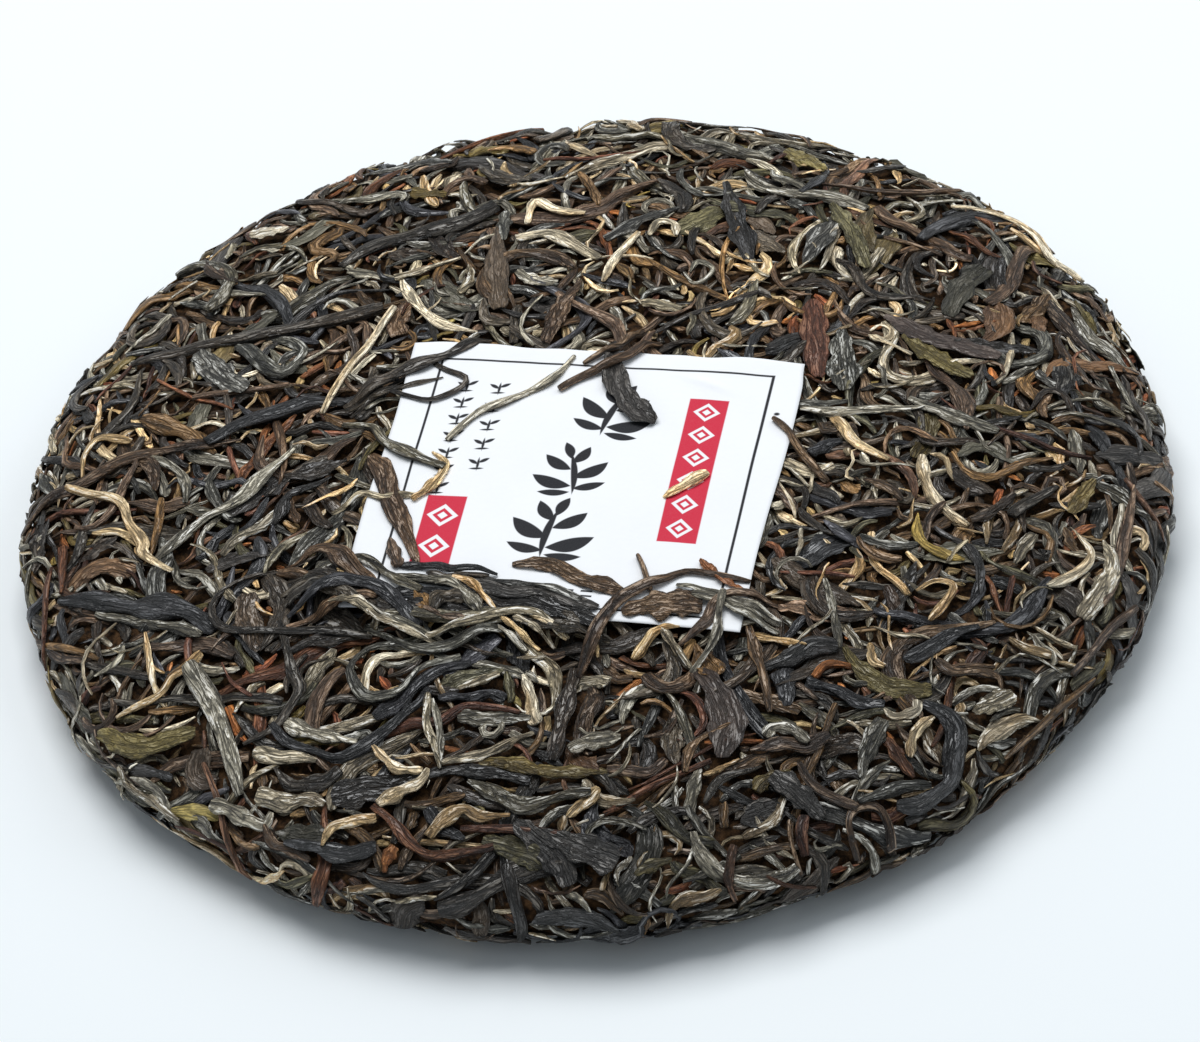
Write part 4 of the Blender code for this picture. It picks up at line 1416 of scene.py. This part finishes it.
# ---------------------------------------------------------------- pieces


def settle(obj, slot, *nodes):
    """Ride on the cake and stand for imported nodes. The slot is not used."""
    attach(obj, BODY)
    if nodes:
        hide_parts(*nodes)


def grid_faces(rows, columns, closed):
    """Quads of a grid whose points run row by row, closed round its columns or open."""
    column = np.arange(columns if closed else columns - 1)
    row = np.arange(rows - 1)[:, None] * columns
    after = (column + 1) % columns
    corners = [column + row, column + row + columns, after + row + columns, after + row]
    return np.stack(corners, -1).reshape(-1, 4)


def core_object():
    """The dark inside of the cake: the mould's surface brought in by the mat's depth, with the
    relief of tea packed too fine to be laid strip by strip."""
    rows, columns, rim_reach = 84, 230, 13
    arc = np.linspace(0, ARC[-1], rows + 2)[1:-1]
    turn = np.linspace(0, FULL_TURN, columns, endpoint=False)
    arcs, turns = np.meshgrid(arc, turn, indexing="ij")
    point, _, _, out = stand(arcs, turns)
    relief = sum(plane_waves(point, *waves) for waves in CORE_RELIEF)
    near_rim = np.exp(-((arcs - RIM_ARC) / rim_reach) ** 2)
    depth = CORE_DEPTH - (CORE_DEPTH - RIM_CORE_DEPTH) * near_rim
    ring = point + out * (unevenness(point) - depth + relief)[..., None]
    ends, _, _, outs = stand(np.array([0.0, ARC[-1]]), np.zeros(2))
    ends = ends - outs * CORE_DEPTH
    points = np.concatenate([ring.reshape(-1, 3), ends])
    top, under = rows * columns, rows * columns + 1
    column = np.arange(columns)
    after = (column + 1) % columns
    last = (rows - 1) * columns
    first_fan = np.stack([np.full(columns, top), column, after], -1)
    last_fan = np.stack([np.full(columns, under), after + last, column + last], -1)
    surface = Surface()
    surface.add(points, grid_faces(rows, columns, True), np.concatenate([first_fan, last_fan]))
    return surface.object("packed_core", core_material())


def core_material():
    """Dark mottled tea."""
    shader = Shader("packed_core", 0.8)
    place = shader.place()
    shader.principled.inputs["IOR"].default_value = 1.2
    mottle = shader.noise(place, 800.0, 4.0, 0.65)
    colour = shader.mix(mottle.rise(0.35, 0.7), four(rgb(26, 18, 12)), four(rgb(84, 60, 38)))
    return shader.finish(colour, 0.75 + 0.1 * mottle, mottle, 0.0006)


def kind_object(kind):
    """Every laid strip of one kind, joined."""
    surface = Surface()
    rng = np.random.default_rng(sum(map(ord, kind)))
    for batch, kinds, colours, form in plan().strips:
        rows = np.flatnonzero(batch.kept & (kinds == kind))
        add_strips(surface, batch, rows, kinds, colours, form, rng)
    return surface.object(f"{kind}_strips", finish_of(kind))


def ticket_strip_objects():
    """The strips on the ticket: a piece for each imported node, and a piece for each kind of the
    small ones."""
    rng = np.random.default_rng(77)
    loose = {}
    for name, batch, kind, colour, form in plan().ticket:
        surface = Surface() if name else loose.setdefault(kind, Surface())
        add_strips(surface, batch, np.array([0]), np.array([kind]), np.array([colour]), form, rng)
        if name:
            obj = surface.object(f"laid_{name}", finish_of(kind))
            settle(obj, "loose_tea", name)
    for kind, surface in loose.items():
        obj = surface.object(f"ticket_{kind}_bits", finish_of(kind))
        settle(obj, "loose_tea")


def ticket_height(x, y, plan_x, plan_y):
    """The paper's height: the dome, slow waves, edges that curl up here and there, and one small
    crease."""
    share = (np.hypot(plan_x, plan_y) / CAKE_RADIUS) ** TOP_POWER
    dome = WIDEST_HEIGHT + (CAKE_HEIGHT - WIDEST_HEIGHT) * (1 - share) ** (1 / TOP_POWER)
    flat = np.stack([x, y, 0 * x], -1)
    wave = sum(plane_waves(flat, *waves) for waves in PAPER_WAVES)
    inward = np.minimum(TICKET_SIZE[0] / 2 - np.abs(x), TICKET_SIZE[1] / 2 - np.abs(y))
    curl_height, curl_reach = 0.30, 6
    curl = curl_height * (1 - smooth_step(inward, 0, curl_reach))
    curl = curl * (0.5 + 0.5 * np.sin(x / 7.0 + 1.0) * np.cos(y / 9.0))
    crease_x, crease_y, crease_height = 19, 25.5, 0.45
    crease_line = (y - crease_y) + 0.35 * (x - crease_x)
    crease = crease_height * np.exp(-np.abs(crease_line) / 0.8) * np.exp(-((x - crease_x) / 4) ** 2)
    return dome + TICKET_LIFT + wave + curl + crease


def ticket_plan(x, y):
    """Where the paper's points lie on the plan: its sides and its far edge waver, its far right
    corner is eased in, and it widens towards that corner."""
    plan_x, plan_y = x + TICKET_MIDDLE[0], y + TICKET_MIDDLE[1]
    plan_x = plan_x + 0.25 * np.sin(y / 8.0) * smooth_step(np.abs(x), 30, 34)
    plan_y = plan_y + (0.30 * np.sin(x / 4.6 + 1) + 0.16 * np.sin(x / 1.7)) * smooth_step(y, 29.5, 32.5)
    corner = smooth_step(x - 33.75 + y - 32.5, -7, 0)
    widening = 2.2 * (0.5 + x / TICKET_SIZE[0]) ** 12 * (0.5 + y / TICKET_SIZE[1])
    return plan_x - 0.5 * corner + widening, plan_y - 0.8 * corner


def ticket_object(paper, red, ink):
    """The printed paper, a grid over the dome with the thickness of paper."""
    columns, rows = 109, 105
    x, y = np.meshgrid(np.linspace(-0.5, 0.5, columns) * TICKET_SIZE[0],
                       np.linspace(-0.5, 0.5, rows) * TICKET_SIZE[1])
    height = ticket_height(x, y, x + TICKET_MIDDLE[0], y + TICKET_MIDDLE[1])
    surface = Surface()
    faces = grid_faces(rows, columns, False)[:, ::-1]
    surface.add(np.stack([*ticket_plan(x, y), height], -1).reshape(-1, 3), faces, np.zeros((0, 3), int))
    obj = surface.object("printed_ticket", ticket_material(paper, red, ink))
    layer = obj.data.attributes.new("print", "FLOAT_VECTOR", "POINT")
    layer.data.foreach_set("vector", np.stack([x, y, 0 * x], -1).astype(np.float32).ravel())
    wall = obj.modifiers.new("paper", "SOLIDIFY")
    wall.thickness = PAPER_THICKNESS * MM
    wall.offset = -1.0
    return obj


# ---------------------------------------------------------------- sizes and colours


class TEA_PG_ticket(bpy.types.PropertyGroup):
    """Colours of the printed ticket."""

    paper: FloatVectorProperty(name="Paper", description="Colour of the bare paper", subtype="COLOR",
                               size=3, min=0, max=1, default=(0.96, 0.965, 0.985))
    red: FloatVectorProperty(name="Red", description="Colour of the bar and the block", subtype="COLOR",
                             size=3, min=0, max=1, default=tuple(rgb(214, 30, 62)))
    ink: FloatVectorProperty(name="Ink", description="Colour of the sprigs and the frame",
                             subtype="COLOR", size=3, min=0, max=1, default=tuple(rgb(20, 20, 26)))


class TEA_PG_stage(bpy.types.PropertyGroup):
    """The camera's place and the light."""

    azimuth: FloatProperty(name="Azimuth", description="Turn of the camera round the cake",
                           subtype="ANGLE", default=math.radians(15.0))
    elevation: FloatProperty(name="Elevation", description="The camera's angle above the table",
                             subtype="ANGLE", default=math.radians(43.23))
    roll: FloatProperty(name="Roll", description="Turn of the camera about its own axis",
                        subtype="ANGLE", default=math.radians(7.03))
    distance: FloatProperty(name="Distance", description="From the camera to the cake",
                            subtype="DISTANCE", default=0.8)
    lens: FloatProperty(name="Lens", description="Focal length in mm", default=138.63)
    floor: FloatVectorProperty(name="Floor", description="Colour of the floor", subtype="COLOR",
                               size=3, min=0, max=1, default=(0.94, 0.97, 0.985))
    key: FloatProperty(name="Key light", description="Power of the large light", subtype="POWER",
                       default=19.4)
    fill: FloatProperty(name="Fill light", description="Power of the side light", subtype="POWER",
                        default=3.2)
    sky: FloatProperty(name="Sky", description="Strength of the pale surroundings", default=0.30, min=0)


# Lights: place and size in metres, and colour
KEY_LIGHT = ((-0.26, 0.50, 1.45), 1.1, (0.975, 0.99, 1.0))
FILL_LIGHT = ((0.80, 0.60, 0.95), 0.9, (0.92, 0.97, 1.0))
SKY_COLOUR = (0.84, 0.93, 1.0)
FLOOR_SIZE = 6.0

# The camera: the height it is turned about, how far it is moved in its own plane, and its sensor, in mm
AIM_HEIGHT = 10
CAMERA_RIGHT = 1.41
CAMERA_DOWN = 5.45
SENSOR_WIDTH = 36.0


def area_light(name, power, place, size, colour):
    """A square light that faces the cake."""
    light = bpy.data.lights.new(name, "AREA")
    light.size = size
    light.energy = power
    light.color = colour
    obj = bpy.data.objects.new(name, light)
    facing = Vector(place).to_track_quat("Z", "Y").to_matrix().to_4x4()
    obj.matrix_world = Matrix.Translation(place) @ facing
    bpy.context.scene.collection.objects.link(obj)


def camera_at(stage):
    """A camera that looks at the cake from an azimuth and an elevation, rolled about its axis and
    moved a little in its own plane."""
    turn, rise, roll = stage.azimuth, stage.elevation, stage.roll
    back = np.array([math.sin(turn) * math.cos(rise), -math.cos(turn) * math.cos(rise), math.sin(rise)])
    right = np.array([math.cos(turn), math.sin(turn), 0])
    up = np.cross(back, right)
    rolled_right = math.cos(roll) * right - math.sin(roll) * up
    rolled_up = math.sin(roll) * right + math.cos(roll) * up
    eye = np.array([0, 0, AIM_HEIGHT * MM]) + rolled_right * CAMERA_RIGHT * MM
    eye = eye - rolled_up * CAMERA_DOWN * MM + back * stage.distance
    data = bpy.data.cameras.new("camera")
    data.lens = stage.lens
    data.sensor_width = SENSOR_WIDTH
    data.clip_start, data.clip_end = 0.05, 20.0
    camera = bpy.data.objects.new("camera", data)
    matrix = Matrix.Identity(4)
    for column, axis in enumerate((rolled_right, rolled_up, back, eye)):
        for row in range(3):
            matrix[row][column] = axis[row]
    camera.matrix_world = matrix
    bpy.context.scene.collection.objects.link(camera)
    bpy.context.scene.camera = camera


# ---------------------------------------------------------------- operators


class TEA_OT_core(bpy.types.Operator):
    """Make the dark packed inside of the cake"""

    bl_idname = "tea.core"
    bl_label = "Packed Core"

    def execute(self, context):
        settle(core_object(), "pressed_tea")
        return {"FINISHED"}


class TEA_OT_mat(bpy.types.Operator):
    """Lay the mat of strips, leaves, stems and crumbs, a piece for each kind"""

    bl_idname = "tea.mat"
    bl_label = "Mat of Tea"

    def execute(self, context):
        for kind in COLOURS:
            obj = kind_object(kind)
            settle(obj, "pressed_tea", *(["cake"] if kind == "charcoal" else []))
        return {"FINISHED"}


class TEA_OT_ticket(bpy.types.Operator):
    """Lay the printed ticket on the cake"""

    bl_idname = "tea.ticket"
    bl_label = "Printed Ticket"

    def execute(self, context):
        ticket = context.scene.tea_ticket
        settle(ticket_object(ticket.paper, ticket.red, ticket.ink), "ticket_paper", "paper_ticket")
        return {"FINISHED"}


class TEA_OT_ticket_strips(bpy.types.Operator):
    """Lay the loose strips, stems and leaves across the ticket"""

    bl_idname = "tea.ticket_strips"
    bl_label = "Strips on the Ticket"

    def execute(self, context):
        ticket_strip_objects()
        return {"FINISHED"}


class TEA_OT_stage(bpy.types.Operator):
    """Set the floor, the soft lights and the camera"""

    bl_idname = "tea.stage"
    bl_label = "Stage"

    def execute(self, context):
        stage = context.scene.tea_stage
        bpy.ops.mesh.primitive_plane_add(size=FLOOR_SIZE, location=(0, 0, 0))
        floor = context.object
        floor.name = "floor"
        shader = Shader("floor", 0.9)
        shader.principled.inputs["Base Color"].default_value = four(stage.floor)
        floor.data.materials.append(shader.material)
        area_light("key", stage.key, *KEY_LIGHT)
        area_light("fill", stage.fill, *FILL_LIGHT)
        world = bpy.data.worlds.new("pale_room")
        world.use_nodes = True
        background = world.node_tree.nodes["Background"]
        background.inputs["Color"].default_value = four(SKY_COLOUR)
        background.inputs["Strength"].default_value = stage.sky
        context.scene.world = world
        context.scene.view_settings.view_transform = "Standard"
        camera_at(stage)
        return {"FINISHED"}


class TEA_PT_panel(bpy.types.Panel):
    """The cake's pieces and their sizes and colours"""

    bl_label = "Pressed Tea Cake"
    bl_idname = "TEA_PT_panel"
    bl_space_type = "VIEW_3D"
    bl_region_type = "UI"
    bl_category = "Tea"

    def draw(self, context):
        for group in (context.scene.tea_ticket, context.scene.tea_stage):
            box = self.layout.box()
            for name in group.__annotations__:
                box.prop(group, name)
        for operator in OPERATORS:
            self.layout.operator(operator.bl_idname)


OPERATORS = (TEA_OT_core, TEA_OT_mat, TEA_OT_ticket, TEA_OT_ticket_strips, TEA_OT_stage)
GROUPS = {"tea_ticket": TEA_PG_ticket, "tea_stage": TEA_PG_stage}


def register():
    """Register the classes and hang the property groups on the scene."""
    for name, group in GROUPS.items():
        bpy.utils.register_class(group)
        setattr(bpy.types.Scene, name, PointerProperty(type=group))
    for cls in (*OPERATORS, TEA_PT_panel):
        bpy.utils.register_class(cls)


def unregister():
    """Take everything off again, in the other order."""
    for cls in reversed((*OPERATORS, TEA_PT_panel)):
        bpy.utils.unregister_class(cls)
    for name, group in reversed(GROUPS.items()):
        delattr(bpy.types.Scene, name)
        bpy.utils.unregister_class(group)


def main():
    """Build every piece."""
    register()
    bpy.ops.tea.core()
    bpy.ops.tea.mat()
    bpy.ops.tea.ticket()
    bpy.ops.tea.ticket_strips()
    bpy.ops.tea.stage()


if __name__ == "__main__":
    main()
